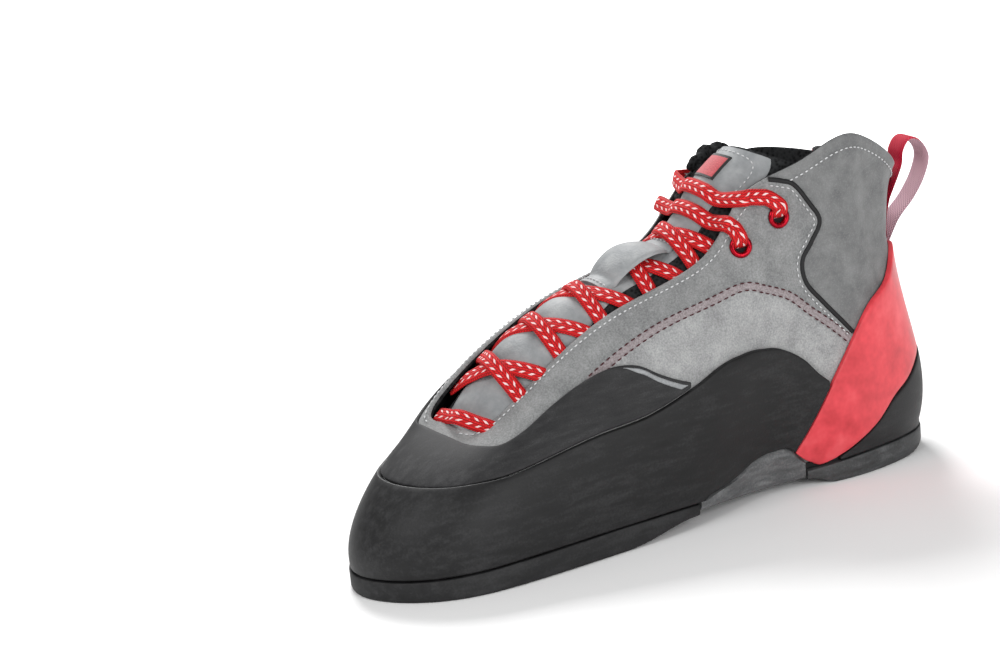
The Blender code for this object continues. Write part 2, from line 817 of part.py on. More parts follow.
def build_pull_loop(name, middle, half, away, size, drop):
    """A strap sewn on the heel below the collar, standing out as a closed loop."""
    edges = [middle - half, middle, middle + half]
    inner, outer = [], []
    for t in (0.90, 0.80, 0.72):
        inner.append([layer(p, t, gap) for p in edges])
        outer.append([layer(p, t, gap + loop_thickness) for p in edges])
    root = rib_point(middle, 0.90)
    side = rib_point(edges[2], 0.90) - rib_point(edges[0], 0.90)
    side[2] = 0.0
    side = side / np.linalg.norm(side)
    away = away / np.linalg.norm(away)
    flat = []
    for row in loop_rows:
        p = root + away * (row.out * size)
        p[2] = row.rise * collar_height - drop
        flat.append(p)
    for k, p in enumerate(flat):
        ahead = flat[min(k + 1, len(flat) - 1)]
        behind = flat[max(k - 1, 0)]
        run = ahead - behind
        run = run / np.linalg.norm(run)
        face = np.cross(side, run)
        face = face / np.linalg.norm(face)
        if np.dot(face, away * (0.55 if k < 4 else -0.1) + np.array([0, 0, -0.2 if k < 4 else 0.5])) < 0:
            face = -face
        row_in, row_out = [], []
        for c in (-0.5, 0.0, 0.5):
            q = p + side * (c * loop_width)
            row_in.append(q - face * loop_thickness / 2)
            row_out.append(q + face * loop_thickness / 2)
        inner.append(row_out)
        outer.append(row_in)
    loops = [a + b[::-1] for a, b in zip(inner, outer)]
    return loft(name, loops, ring=True)


def coat(part, name, color, roughness, metallic=0.0):
    """Gives a part its own material."""
    made = bpy.data.materials.new(name)
    made.use_nodes = True
    shader = made.node_tree.nodes["Principled BSDF"]
    shader.inputs["Base Color"].default_value = (*color, 1.0)
    shader.inputs["Roughness"].default_value = roughness
    shader.inputs["Metallic"].default_value = metallic
    part.data.materials.clear()
    part.data.materials.append(made)


def set_down(parts):
    """Stands the shoe on the floor with the middle of its box over the origin."""
    low = np.array([1.0, 1.0, 1.0])
    high = -low
    for part in parts:
        for v in part.data.vertices:
            low = np.minimum(low, v.co)
            high = np.maximum(high, v.co)
    shift = np.array([-(low[0] + high[0]) / 2, -(low[1] + high[1]) / 2, -low[2]])
    for part in parts:
        for v in part.data.vertices:
            v.co = np.array(v.co) + shift
        part.data.shade_smooth()
        part.data.set_sharp_from_angle(angle=math.radians(38))


def main():
    for old in list(bpy.data.objects):
        bpy.data.objects.remove(old, do_unlink=True)
    upper = build_upper()
    rand, patch, band, heel_rand = build_overlays()
    midsole, insole, outsole, heel, arch = build_sole()
    tongue, keeper, label = build_tongue()
    laces = build_laces()
    low, top = top_strands
    eyelets = [
        build_eyelet("eyelet_outer_low", low.eye, eyelet_line),
        build_eyelet("eyelet_outer_top", top.eye, eyelet_line),
        build_eyelet("eyelet_inner_low", -low.eye, eyelet_line),
        build_eyelet("eyelet_inner_top", -top.eye, eyelet_line),
    ]
    outer_loop = build_pull_loop(
        "pull_loop_outer", outer_loop_place, outer_loop_half, outer_loop_away, 1.0, 0.0
    )
    inner_away = outward(inner_loop_place)
    inner_loop = build_pull_loop(
        "pull_loop_inner", inner_loop_place, inner_loop_half, inner_away, inner_loop_size, inner_loop_drop
    )

    grey = (0.14, 0.14, 0.14)
    black = (0.012, 0.012, 0.013)
    red = (0.65, 0.045, 0.045)
    coat(upper, "upper leather", grey, 0.85)
    coat(tongue, "tongue leather", (0.16, 0.16, 0.16), 0.8)
    coat(keeper, "keeper leather", (0.17, 0.17, 0.17), 0.8)
    coat(label, "label", red, 0.6)
    coat(rand, "rand rubber", black, 0.7)
    coat(patch, "patch rubber", black, 0.75)
    coat(heel_rand, "heel rubber", black, 0.7)
    coat(band, "band rubber", red, 0.4)
    coat(midsole, "midsole board", (0.05, 0.05, 0.05), 0.8)
    coat(insole, "insole felt", (0.08, 0.08, 0.08), 0.9)
    coat(outsole, "outsole rubber", black, 0.75)
    coat(heel, "heel sole rubber", black, 0.75)
    coat(arch, "arch rubber", (0.06, 0.06, 0.06), 0.6)
    coat(outer_loop, "outer loop webbing", (0.6, 0.01, 0.03), 0.6)
    coat(inner_loop, "inner loop webbing", black, 0.6)
    for lace in laces:
        coat(lace, "lace cord", (0.7, 0.01, 0.01), 0.7)
    for eyelet in eyelets:
        coat(eyelet, "eyelet metal", (0.4, 0.01, 0.02), 0.35, 0.9)
    parts = [upper, tongue, keeper, label, rand, patch, band, heel_rand]
    parts += [midsole, insole, outsole, heel, arch, outer_loop, inner_loop]
    set_down(parts + laces + eyelets)


main()
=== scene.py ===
"""The looks of a high-cut lace-up climbing shoe, laid out as an add-on and run as a script.

Every piece lies on the last of the left shoe, whose toe points to -Y. A place counts sections
around the shoe from the heel's back by the outer side to the toe (9) and back; below zero it
counts along the inner side. Heights are shares of the way from the sole's edge to the topline.
"""

import math
from collections import namedtuple

import bmesh
import bpy
import numpy as np
from mathutils import Matrix, Vector


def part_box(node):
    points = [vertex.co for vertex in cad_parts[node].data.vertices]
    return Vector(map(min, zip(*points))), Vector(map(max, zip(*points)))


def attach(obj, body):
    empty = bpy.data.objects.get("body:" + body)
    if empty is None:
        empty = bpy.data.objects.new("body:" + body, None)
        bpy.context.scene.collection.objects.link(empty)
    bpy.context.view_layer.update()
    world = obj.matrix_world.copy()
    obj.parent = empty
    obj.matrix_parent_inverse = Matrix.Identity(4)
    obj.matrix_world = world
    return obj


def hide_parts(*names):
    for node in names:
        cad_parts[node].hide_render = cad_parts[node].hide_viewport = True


bl_info = {
    "name": "Climbing shoe",
    "version": (1, 0, 0),
    "blender": (4, 5, 0),
    "location": "View3D > Sidebar > Shoe",
    "description": "Dresses the climbing shoe's frame with leather, rubber, laces and stitches",
    "category": "Object",
}

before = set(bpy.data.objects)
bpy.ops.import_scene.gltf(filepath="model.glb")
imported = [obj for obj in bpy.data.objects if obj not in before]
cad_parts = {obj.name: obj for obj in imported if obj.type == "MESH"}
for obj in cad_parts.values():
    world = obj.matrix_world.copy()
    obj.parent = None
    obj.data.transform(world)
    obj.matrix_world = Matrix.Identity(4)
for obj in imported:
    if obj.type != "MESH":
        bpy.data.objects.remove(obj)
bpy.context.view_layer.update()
MM = 0.001

Section = namedtuple(
    "Section",
    "place wide tall foot_along foot_across foot_rise top_along top_across top_rise"
    " low_out low_up high_out high_up",
)

# One entry for each section of the last, as shares of the shoe's named lengths, widths and heights:
# where its rib starts and ends, and on the second line how the rib swells between
SECTIONS = (
    Section("heel back", "heel", "collar", -0.002, 0.00, 0.087, 0.008, 0.00, 0.842,
            0.20, 0.26, -0.37, -0.26),
    Section("outer heel corner", "heel", "collar", 0.029, 0.332, 0.087, 0.034, 0.300, 0.888,
            0.16, 0.24, -0.24, -0.28),
    Section("outer heel side", "heel", "collar", 0.135, 0.480, 0.087, 0.135, 0.452, 1.004,
            0.10, 0.20, 0.03, -0.30),
    Section("outer ankle", "heel", "collar", 0.235, 0.455, 0.075, 0.228, 0.400, 0.950,
            0.12, 0.16, 0.08, -0.28),
    Section("outer waist", "heel", "collar", 0.335, 0.370, 0.062, 0.327, 0.339, 0.882,
            0.16, 0.12, 0.16, -0.24),
    Section("outer midfoot", "ball", "instep", 0.465, 0.352, 0.122, 0.398, 0.198, 1.053,
            0.06, 0.24, 0.15, -0.16),
    Section("outer ball", "ball", "instep", 0.620, 0.395, 0.132, 0.554, 0.145, 0.905,
            0.03, 0.22, 0.17, -0.10),
    Section("little toe", "ball", "instep", 0.790, 0.412, 0.127, 0.700, 0.121, 0.684,
            0.03, 0.20, 0.19, -0.05),
    Section("outer toe corner", "ball", "instep", 0.915, 0.335, 0.117, 0.777, 0.066, 0.542,
            0.04, 0.20, 0.24, -0.02),
    Section("toe tip", "ball", "instep", 0.984, 0.050, 0.112, 0.804, -0.055, 0.563,
            0.02, 0.18, 0.22, -0.03),
    Section("inner toe corner", "ball", "instep", 0.918, -0.262, 0.117, 0.815, -0.165, 0.595,
            0.01, 0.18, 0.04, -0.02),
    Section("big toe joint", "ball", "instep", 0.805, -0.455, 0.127, 0.723, -0.209, 0.768,
            0.02, 0.22, 0.10, -0.03),
    Section("inner ball", "ball", "instep", 0.660, -0.505, 0.132, 0.569, -0.236, 0.947,
            0.02, 0.26, 0.14, -0.06),
    Section("inner midfoot", "ball", "instep", 0.480, -0.380, 0.190, 0.415, -0.242, 1.070,
            0.06, 0.24, 0.14, -0.12),
    Section("inner waist", "heel", "collar", 0.335, -0.390, 0.140, 0.320, -0.380, 0.890,
            0.14, 0.14, 0.15, -0.22),
    Section("inner ankle", "heel", "collar", 0.235, -0.430, 0.115, 0.225, -0.430, 0.930,
            0.12, 0.16, 0.08, -0.28),
    Section("inner heel side", "heel", "collar", 0.135, -0.470, 0.090, 0.135, -0.438, 0.918,
            0.10, 0.20, 0.03, -0.30),
    Section("inner heel corner", "heel", "collar", 0.029, -0.320, 0.087, 0.036, -0.290, 0.865,
            0.16, 0.24, -0.24, -0.28),
)
COUNT = len(SECTIONS)
TOE = COUNT // 2

# Metres that a height of -1 goes below the sole's edge
BELOW_FOOT = 0.1

Edge = namedtuple("Edge", "place height")

# The sole's rubber stays under the foot from the inner arch round the heel to the outer arch
INNER_ARCH_END = -3.00
OUTER_ARCH_START = 3.10

# Edges of the rubber layers on the last
SOLE_LINE = (
    Edge(-5.00, -0.020),
    Edge(-4.50, -0.010),
    Edge(-3.90, 0.000),
    Edge(-3.30, -0.010),
    Edge(INNER_ARCH_END, -0.020),
    Edge(OUTER_ARCH_START, -0.020),
    Edge(3.30, 0.030),
    Edge(3.50, 0.115),
    Edge(3.90, 0.150),
    Edge(4.25, 0.130),
    Edge(4.70, 0.020),
    Edge(5.00, -0.020),
)
BAND_TOP = (
    Edge(-4.75, -0.004),
    Edge(-4.50, 0.035),
    Edge(-4.00, 0.135),
    Edge(-3.50, 0.225),
    Edge(-3.00, 0.310),
    Edge(-2.50, 0.400),
    Edge(-2.00, 0.490),
    Edge(-1.60, 0.580),
    Edge(-1.20, 0.665),
    Edge(0.00, 0.690),
    Edge(1.20, 0.680),
    Edge(1.60, 0.570),
    Edge(2.12, 0.490),
    Edge(2.50, 0.400),
    Edge(2.80, 0.320),
    Edge(3.12, 0.220),
    Edge(3.45, 0.115),
)
BAND_FOOT = (
    Edge(-4.75, -0.015),
    Edge(-4.00, -0.005),
    Edge(-3.30, 0.000),
    Edge(-2.80, 0.040),
    Edge(-2.20, 0.110),
    Edge(-1.60, 0.200),
    Edge(-1.00, 0.270),
    Edge(0.00, 0.300),
    Edge(1.08, 0.270),
    Edge(1.40, 0.215),
    Edge(1.71, 0.170),
    Edge(1.96, 0.105),
    Edge(2.30, 0.045),
    Edge(2.83, -0.015),
    Edge(3.10, -0.013),
    Edge(3.30, 0.040),
    Edge(3.45, 0.100),
)
RAND_TOP = (
    Edge(2.80, 0.320),
    Edge(3.00, 0.370),
    Edge(3.20, 0.430),
    Edge(3.60, 0.500),
    Edge(4.10, 0.530),
    Edge(4.55, 0.535),
    Edge(4.96, 0.520),
    Edge(5.25, 0.480),
    Edge(5.75, 0.435),
    Edge(6.30, 0.450),
    Edge(7.30, 0.480),
    Edge(7.80, 0.515),
    Edge(9.00, 0.530),
    Edge(10.20, 0.515),
    Edge(11.00, 0.480),
    Edge(12.20, 0.440),
    Edge(12.75, 0.470),
    Edge(13.10, 0.510),
    Edge(13.60, 0.530),
    Edge(14.20, 0.510),
    Edge(14.80, 0.440),
    Edge(15.20, 0.365),
)
PATCH_TOP = (
    Edge(5.25, 0.490),
    Edge(5.42, 0.520),
    Edge(5.67, 0.585),
    Edge(5.85, 0.650),
    Edge(6.10, 0.705),
    Edge(6.40, 0.730),
    Edge(6.80, 0.730),
    Edge(7.20, 0.705),
    Edge(7.50, 0.715),
    Edge(7.90, 0.800),
    Edge(8.40, 0.875),
    Edge(9.00, 0.895),
    Edge(9.60, 0.880),
    Edge(10.10, 0.800),
    Edge(10.50, 0.720),
    Edge(11.20, 0.720),
    Edge(11.70, 0.715),
    Edge(12.10, 0.640),
    Edge(12.40, 0.560),
    Edge(12.75, 0.490),
)

# Seams of the leather panels on the outer side; the inner side mirrors them
ARC_SEAM = (
    Edge(6.35, 0.715),
    Edge(6.00, 0.750),
    Edge(5.62, 0.780),
    Edge(5.25, 0.785),
    Edge(4.79, 0.772),
    Edge(4.40, 0.745),
    Edge(4.00, 0.708),
    Edge(3.42, 0.645),
    Edge(3.04, 0.563),
    Edge(2.71, 0.490),
    Edge(2.30, 0.395),
)
ANKLE_SEAM = (
    Edge(3.50, 1.000),
    Edge(3.30, 0.975),
    Edge(3.12, 0.945),
    Edge(2.92, 0.870),
    Edge(2.77, 0.800),
    Edge(2.94, 0.755),
    Edge(3.11, 0.715),
    Edge(3.08, 0.650),
    Edge(2.83, 0.570),
    Edge(2.54, 0.490),
    Edge(2.22, 0.405),
)

# Places of the eyelets on the two flaps, at one height
EYELETS = {
    "eyelet_outer_low": 4.29,
    "eyelet_outer_top": 3.42,
    "eyelet_inner_low": -4.29,
    "eyelet_inner_top": -3.42,
}
EYELET_HEIGHT = 0.872

Crease = namedtuple("Crease", "place height reach spread depth")

# Soft troughs (depth below zero) and ridges of the leather, in sections and shares of a rib
CREASES = (
    Crease(1.15, 0.86, 0.34, 0.20, 0.0010),
    Crease(1.75, 0.80, 0.22, 0.22, -0.0013),
    Crease(2.25, 0.84, 0.26, 0.16, 0.0008),
    Crease(2.62, 0.72, 0.14, 0.12, -0.0008),
    Crease(1.45, 0.73, 0.50, 0.04, -0.0008),
    Crease(3.62, 0.80, 0.16, 0.10, -0.0006),
    Crease(3.95, 0.76, 0.18, 0.09, 0.0006),
    Crease(4.75, 0.66, 0.70, 0.06, 0.0007),
    Crease(5.45, 0.66, 0.35, 0.05, -0.0006),
    Crease(3.60, 0.60, 0.45, 0.05, 0.0005),
    Crease(-1.20, 0.86, 0.34, 0.20, 0.0010),
    Crease(-1.80, 0.80, 0.22, 0.22, -0.0013),
    Crease(-2.30, 0.84, 0.26, 0.16, 0.0008),
    Crease(-2.65, 0.72, 0.14, 0.12, -0.0008),
    Crease(-3.70, 0.78, 0.18, 0.10, -0.0006),
    Crease(-4.80, 0.66, 0.70, 0.06, 0.0007),
    Crease(-5.50, 0.64, 0.35, 0.05, -0.0006),
)

TongueRow = namedtuple("TongueRow", "steps height depth crown_fore crown_up")

# The tongue's rows from the throat's front to its top
TONGUE_ROWS = (
    TongueRow(0.30, 0.930, 0.0056, 0.0000, 0.0000),
    TongueRow(1.20, 0.930, 0.0066, 0.0000, 0.0004),
    TongueRow(1.60, 0.930, 0.0068, 0.0010, 0.0030),
    TongueRow(2.00, 0.925, 0.0066, 0.0020, 0.0062),
    TongueRow(3.00, 0.920, 0.0056, 0.0030, 0.0085),
    TongueRow(3.60, 0.920, 0.0056, 0.0030, 0.0090),
    TongueRow(4.00, 0.930, 0.0056, 0.0035, 0.0095),
    TongueRow(4.50, 0.930, 0.0058, 0.0055, 0.0090),
    TongueRow(5.00, 0.940, 0.0058, 0.0075, 0.0085),
    TongueRow(5.50, 0.970, 0.0058, 0.0110, 0.0070),
    TongueRow(6.00, 1.000, 0.0056, 0.0140, 0.0080),
)


def hermite(low, low_slope, high, high_slope, f):
    """The cubic from low to high with the given slopes, at a share f of the way."""
    return (
        (2 * f**3 - 3 * f**2 + 1) * low
        + (f**3 - 2 * f**2 + f) * low_slope
        + (3 * f**2 - 2 * f**3) * high
        + (f**3 - f**2) * high_slope
    )


def smooth_step(x):
    """From 0 to 1 with level ends."""
    x = np.clip(x, 0.0, 1.0)
    return x * x * (3.0 - 2.0 * x)


def along_edge(edge, place):
    """The height of a layer's edge at places, smooth between the rows of its table."""
    xs = np.array([e.place for e in edge])
    ys = np.array([e.height for e in edge])
    slopes = np.gradient(ys, xs)
    place = np.clip(place, xs[0], xs[-1])
    k = np.clip(np.searchsorted(xs, place) - 1, 0, len(xs) - 2)
    wide = xs[k + 1] - xs[k]
    return hermite(ys[k], slopes[k] * wide, ys[k + 1], slopes[k + 1] * wide, (place - xs[k]) / wide)


def smooth_path(rows, pieces):
    """Points on the smooth curve through rows of numbers, evenly spaced by row."""
    rows = np.array(rows, float)
    slopes = np.gradient(rows, axis=0)
    s = np.linspace(0, len(rows) - 1, pieces + 1)
    k = np.minimum(s.astype(int), len(rows) - 2)
    f = (s - k)[:, None]
    return hermite(rows[k], slopes[k], rows[k + 1], slopes[k + 1], f)


class Last:
    """The bare upper's outer surface, standing where the frame's upper stands."""

    def __init__(self, sizes, creased=True):
        widths = {"heel": sizes.heel_width, "ball": sizes.ball_width}
        heights = {"collar": sizes.collar_height, "instep": sizes.instep_height}
        rows = []
        for s in SECTIONS:
            w, h = widths[s.wide], heights[s.tall]
            foot = [s.foot_across * w, (0.5 - s.foot_along) * sizes.last_length, s.foot_rise * h]
            top = [s.top_across * w, (0.5 - s.top_along) * sizes.last_length, s.top_rise * h]
            rows.append(foot + top + [s.low_out * w, s.low_up * h, s.high_out * w, s.high_up * h])
        self.rows = np.array(rows)
        eye = np.eye(COUNT)
        system = 4.0 * eye + np.roll(eye, 1, 1) + np.roll(eye, -1, 1)
        step = np.roll(self.rows, -1, 0) - np.roll(self.rows, 1, 0)
        self.slopes = np.linalg.solve(system, 3.0 * step)
        self.wall = sizes.wall
        self.shift = np.zeros(3)
        self.creased = False
        place, height = np.meshgrid(np.arange(COUNT * 4) / 4, np.arange(10) / 9)
        skin = np.concatenate([self.layer(place, height, 0.0), self.layer(place, height, -self.wall)])
        low, high = skin.reshape(-1, 3).min(0), skin.reshape(-1, 3).max(0)
        box_low, box_high = (np.array(c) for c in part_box("upper"))
        self.shift = (box_low + box_high - low - high) / 2
        self.creased = creased

    def at(self, place):
        """The rib's numbers and their change along the ring."""
        place = np.asarray(place, float)
        k = np.floor(place).astype(int) % COUNT
        f = (place - np.floor(place))[..., None]
        a, b = self.rows[k], self.rows[(k + 1) % COUNT]
        da, db = self.slopes[k], self.slopes[(k + 1) % COUNT]
        change = 6 * (f**2 - f) * (a - b) + (3 * f**2 - 4 * f + 1) * da + (3 * f**2 - 2 * f) * db
        return hermite(a, da, b, db, f), change

    def outward(self, place):
        """The level direction square to the sole's edge, pointing out of the shoe."""
        change = self.at(place)[1]
        d = np.stack([-change[..., 1], change[..., 0], 0 * change[..., 0]], -1)
        return d / np.linalg.norm(d, axis=-1, keepdims=True)

    def point(self, place, height):
        """A point of the bare surface; below the sole's edge it goes straight down."""
        place, height = np.broadcast_arrays(np.asarray(place, float), np.asarray(height, float))
        v = self.at(place)[0]
        out = self.outward(place)
        up = np.array([0.0, 0.0, 1.0])
        foot, top = v[..., 0:3], v[..., 3:6]
        low = foot + out * v[..., 6:7] + up * v[..., 7:8]
        high = top + out * v[..., 8:9] + up * v[..., 9:10]
        t = np.maximum(height, 0.0)[..., None]
        s = 1.0 - t
        rib = s**3 * foot + 3 * s * s * t * low + 3 * s * t * t * high + t**3 * top
        return rib + up * (BELOW_FOOT * np.minimum(height, 0.0))[..., None] + self.shift

    def normal(self, place, height):
        """The surface's direction out of the shoe, turning level toward the sole's edge."""
        place, height = np.broadcast_arrays(np.asarray(place, float), np.asarray(height, float))
        e = 0.004
        u = np.maximum(height, 0.1)
        along = self.point(place + e, u) - self.point(place - e, u)
        up = self.point(place, u + e) - self.point(place, u - e)
        n = np.cross(up, along)
        n = n / np.linalg.norm(n, axis=-1, keepdims=True)
        level = self.outward(place)
        share = np.clip(height / 0.1, 0.0, 1.0)[..., None]
        n = level + (n - level) * share
        return n / np.linalg.norm(n, axis=-1, keepdims=True)

    def relief(self, place, height):
        """How far the creases lift or sink the surface."""
        total = np.zeros(np.broadcast(place, height).shape)
        for c in CREASES:
            away = (place - c.place + COUNT / 2) % COUNT - COUNT / 2
            total = total + c.depth * np.exp(-((away / c.reach) ** 2) - ((height - c.height) / c.spread) ** 2)
        return total

    def layer(self, place, height, out):
        """A point at a distance out of the creased surface."""
        if self.creased:
            out = out + self.relief(place, height)
        out = np.asarray(out)[..., None]
        return self.point(place, height) + self.normal(place, height) * out

    def foot(self, place, out, rise):
        """A point level with the sole's edge: out from it, and rise above it."""
        return self.point(place, 0.0) + self.outward(place) * out + np.array([0.0, 0.0, rise])


class Tongue:
    """The tongue's outer face under the throat, from the last's two sides."""

    def __init__(self, last, thickness):
        self.thickness = thickness
        frames = []
        for row in TONGUE_ROWS:
            sides = []
            for place in (TOE - row.steps, TOE + row.steps):
                sides.append(last.point(place, row.height) - last.normal(place, row.height) * row.depth)
            near, far = sides
            crown = np.array([0.0, -row.crown_fore, row.crown_up])
            frames.append(np.concatenate([(near + far) / 2, (near - far) / 2, crown]))
        self.frames = np.array(frames)
        self.steps = np.array([row.steps for row in TONGUE_ROWS])
        self.slopes = np.gradient(self.frames, self.steps, axis=0)

    def middle(self, steps, across):
        """The middle sheet: steps from the toe, across from -1 inner to 1 outer edge."""
        steps, across = np.broadcast_arrays(np.asarray(steps, float), np.asarray(across, float))
        k = np.clip(np.searchsorted(self.steps, steps) - 1, 0, len(self.steps) - 2)
        wide = (self.steps[k + 1] - self.steps[k])[..., None]
        f = (steps - self.steps[k])[..., None] / wide
        v = hermite(self.frames[k], self.slopes[k] * wide, self.frames[k + 1], self.slopes[k + 1] * wide, f)
        a = across[..., None]
        return v[..., 0:3] + v[..., 3:6] * a + v[..., 6:9] * (1.0 - a**2)

    def normal(self, steps, across):
        """The outer face's direction, up and to the front."""
        e = 0.01
        up = self.middle(steps + e, across) - self.middle(steps - e, across)
        over = self.middle(steps, across + e) - self.middle(steps, across - e)
        n = np.cross(up, over)
        n = n / np.linalg.norm(n, axis=-1, keepdims=True)
        return n * np.sign(n[..., 2:3] - n[..., 1:2])

    def layer(self, steps, across, out):
        """A point at a distance out of the outer face."""
        out = np.asarray(out)[..., None]
        steps, across = np.asarray(steps, float), np.asarray(across, float)
        return self.middle(steps, across) + self.normal(steps, across) * (self.thickness / 2 + out)


def linear(code):
    """The linear colour of an sRGB hex value."""
    parts = [int(code[k : k + 2], 16) / 255 for k in (1, 3, 5)]
    return tuple(c / 12.92 if c <= 0.04045 else ((c + 0.055) / 1.055) ** 2.4 for c in parts) + (1.0,)


def add(tree, kind, inputs=None, **settings):
    """Adds a node with its settings, and sets or links its inputs."""
    node = tree.nodes.new(kind)
    for name, value in settings.items():
        setattr(node, name, value)
    for name, value in (inputs or {}).items():
        socket = node.inputs[name]
        if isinstance(value, bpy.types.NodeSocket):
            tree.links.new(value, socket)
        else:
            socket.default_value = value
    return node


def start(name, values):
    """A material and its shader, with the values that are the same all over."""
    made = bpy.data.materials.new(name)
    made.use_nodes = True
    shader = made.node_tree.nodes["Principled BSDF"]
    for socket, value in values.items():
        shader.inputs[socket].default_value = value
    return made, made.node_tree, shader


def noise(tree, coords, size_mm, detail=3.0, stretch=None):
    """Noise whose grains are about size_mm across, from 0 to 1."""
    if stretch is not None:
        coords = add(tree, "ShaderNodeMapping", {"Vector": coords, "Scale": stretch}).outputs["Vector"]
    inputs = {"Vector": coords, "Scale": 1.0 / (size_mm * MM), "Detail": detail, "Roughness": 0.6}
    return add(tree, "ShaderNodeTexNoise", inputs).outputs["Fac"]


def cells(tree, coords, size_mm):
    """The distance to the middle of the nearest of many small cells."""
    inputs = {"Vector": coords, "Scale": 1 / (size_mm * MM)}
    return add(tree, "ShaderNodeTexVoronoi", inputs).outputs["Distance"]


def field(tree, name):
    """A value that the piece's own points carry."""
    return add(tree, "ShaderNodeAttribute", attribute_name=name).outputs["Fac"]


def ramp(tree, value, stops):
    """A colour ramp over (position, hex) stops."""
    node = add(tree, "ShaderNodeValToRGB", {"Fac": value})
    while len(node.color_ramp.elements) < len(stops):
        node.color_ramp.elements.new(0.5)
    for element, (position, code) in zip(node.color_ramp.elements, stops):
        element.position = position
        element.color = linear(code)
    return node.outputs["Color"]


def span(tree, value, low, high, to_low=0.0, to_high=1.0):
    """Maps a value from low..high to to_low..to_high, held at the ends."""
    inputs = {"Value": value, "From Min": low, "From Max": high, "To Min": to_low, "To Max": to_high}
    return add(tree, "ShaderNodeMapRange", inputs, interpolation_type="SMOOTHSTEP").outputs["Result"]


def mix(tree, share, a, b):
    """Colour a, turning to colour b where share is 1."""
    node = add(tree, "ShaderNodeMix", data_type="RGBA")
    for socket, value in ((0, share), (6, a), (7, b)):
        if isinstance(value, bpy.types.NodeSocket):
            tree.links.new(value, node.inputs[socket])
        else:
            node.inputs[socket].default_value = value
    return node.outputs[2]


def math_node(tree, operation, a, b=0.0):
    """One arithmetic step on two values."""
    node = add(tree, "ShaderNodeMath", operation=operation)
    for socket, value in ((0, a), (1, b)):
        if isinstance(value, bpy.types.NodeSocket):
            tree.links.new(value, node.inputs[socket])
        else:
            node.inputs[socket].default_value = value
    return node.outputs[0]


def blend(tree, *parts):
    """The sum of values, each times its share."""
    total = None
    for value, share in parts:
        part = math_node(tree, "MULTIPLY", value, share)
        total = part if total is None else math_node(tree, "ADD", total, part)
    return total


def bump(tree, shader, height, depth_mm):
    """Presses a height from 0 to 1 into the surface, depth_mm deep."""
    node = add(tree, "ShaderNodeBump", {"Height": height, "Distance": depth_mm * MM, "Strength": 1.0})
    tree.links.new(node.outputs["Normal"], shader.inputs["Normal"])


def object_coords(tree):
    """The place on the shoe, in metres."""
    return add(tree, "ShaderNodeTexCoord").outputs["Object"]


def suede(colours):
    """Split cowhide, buffed to a nap: matt, mottled where it was brushed, darker in its grain."""
    values = {"Roughness": 0.92, "Sheen Weight": 0.25, "Sheen Roughness": 0.5}
    made, tree, shader = start("Buffed split suede", values)
    coords = object_coords(tree)
    fine = noise(tree, coords, 0.7, 4.0)
    cloud = noise(tree, coords, 9.0, 3.0)
    both = blend(tree, (fine, 0.6), (cloud, 0.4))
    quarter = ramp(tree, both, ((0.34, "#7e7e7f"), (0.50, colours.quarter_hex), (0.66, "#aeaeae")))
    eyestay = ramp(tree, both, ((0.34, "#676869"), (0.50, colours.eyestay_hex), (0.66, "#959696")))
    ankle = ramp(tree, cloud, ((0.30, "#5a5b5c"), (0.52, colours.ankle_hex), (0.74, "#7b7c7c")))
    ankle = mix(tree, span(tree, fine, 0.45, 0.75, 0.0, 0.30), ankle, linear("#9a9a9a"))
    arc = field(tree, "arc_mm")
    back = field(tree, "ankle_mm")
    band = math_node(tree, "ABSOLUTE", arc)
    colour = mix(tree, span(tree, arc, -0.25, 0.25), quarter, eyestay)
    pink = ramp(tree, fine, ((0.35, "#7d6f70"), (0.65, "#a3979a")))
    colour = mix(tree, span(tree, band, 1.2, 1.9, 0.75, 0.0), colour, pink)
    colour = mix(tree, span(tree, back, -0.25, 0.25), colour, ankle)
    shade = math_node(tree, "ABSOLUTE", back)
    colour = mix(tree, span(tree, shade, 0.0, 1.1, 0.7, 0.0), colour, linear("#2b2b2c"))
    # Painted shade: the leather turns near-black within about 3 mm of each eyelet's middle, standing for the
    # shaded inside of a hole; the leather is only sunk there, not holed
    colour = mix(tree, span(tree, field(tree, "hole_mm"), 2.7, 3.3, 1.0, 0.0), colour, linear("#0e0e0f"))
    tree.links.new(colour, shader.inputs["Base Color"])
    bump(tree, shader, both, 0.30)
    return made


def lining():
    """Knitted padding fabric: black, with small dark cells."""
    made, tree, shader = start("Knitted padding fabric", {"Roughness": 0.95, "Specular IOR Level": 0.2})
    far = cells(tree, object_coords(tree), 1.6)
    tree.links.new(ramp(tree, far, ((0.15, "#0c0c0d"), (0.6, "#2a2b2c"))), shader.inputs["Base Color"])
    bump(tree, shader, far, 0.35)
    return made


def rubber(name, dark, mid, light, rough, grain_mm=0.9):
    """Smooth sheet rubber, buffed and lightly scuffed: matt, with pale dust in broad strokes."""
    made, tree, shader = start(name, {"Specular IOR Level": 0.32})
    coords = object_coords(tree)
    stroke = noise(tree, coords, 6.0, 5.0, stretch=(2.2, 0.45, 2.2))
    fine = noise(tree, coords, grain_mm, 3.0)
    broad = noise(tree, coords, 38.0, 2.0)
    both = blend(tree, (stroke, 0.45), (fine, 0.25), (broad, 0.30))
    colour = ramp(tree, both, ((0.36, dark), (0.50, mid), (0.66, light)))
    tree.links.new(colour, shader.inputs["Base Color"])
    tree.links.new(span(tree, both, 0.3, 0.7, rough - 0.08, rough + 0.10), shader.inputs["Roughness"])
    bump(tree, shader, fine, 0.05)
    return made


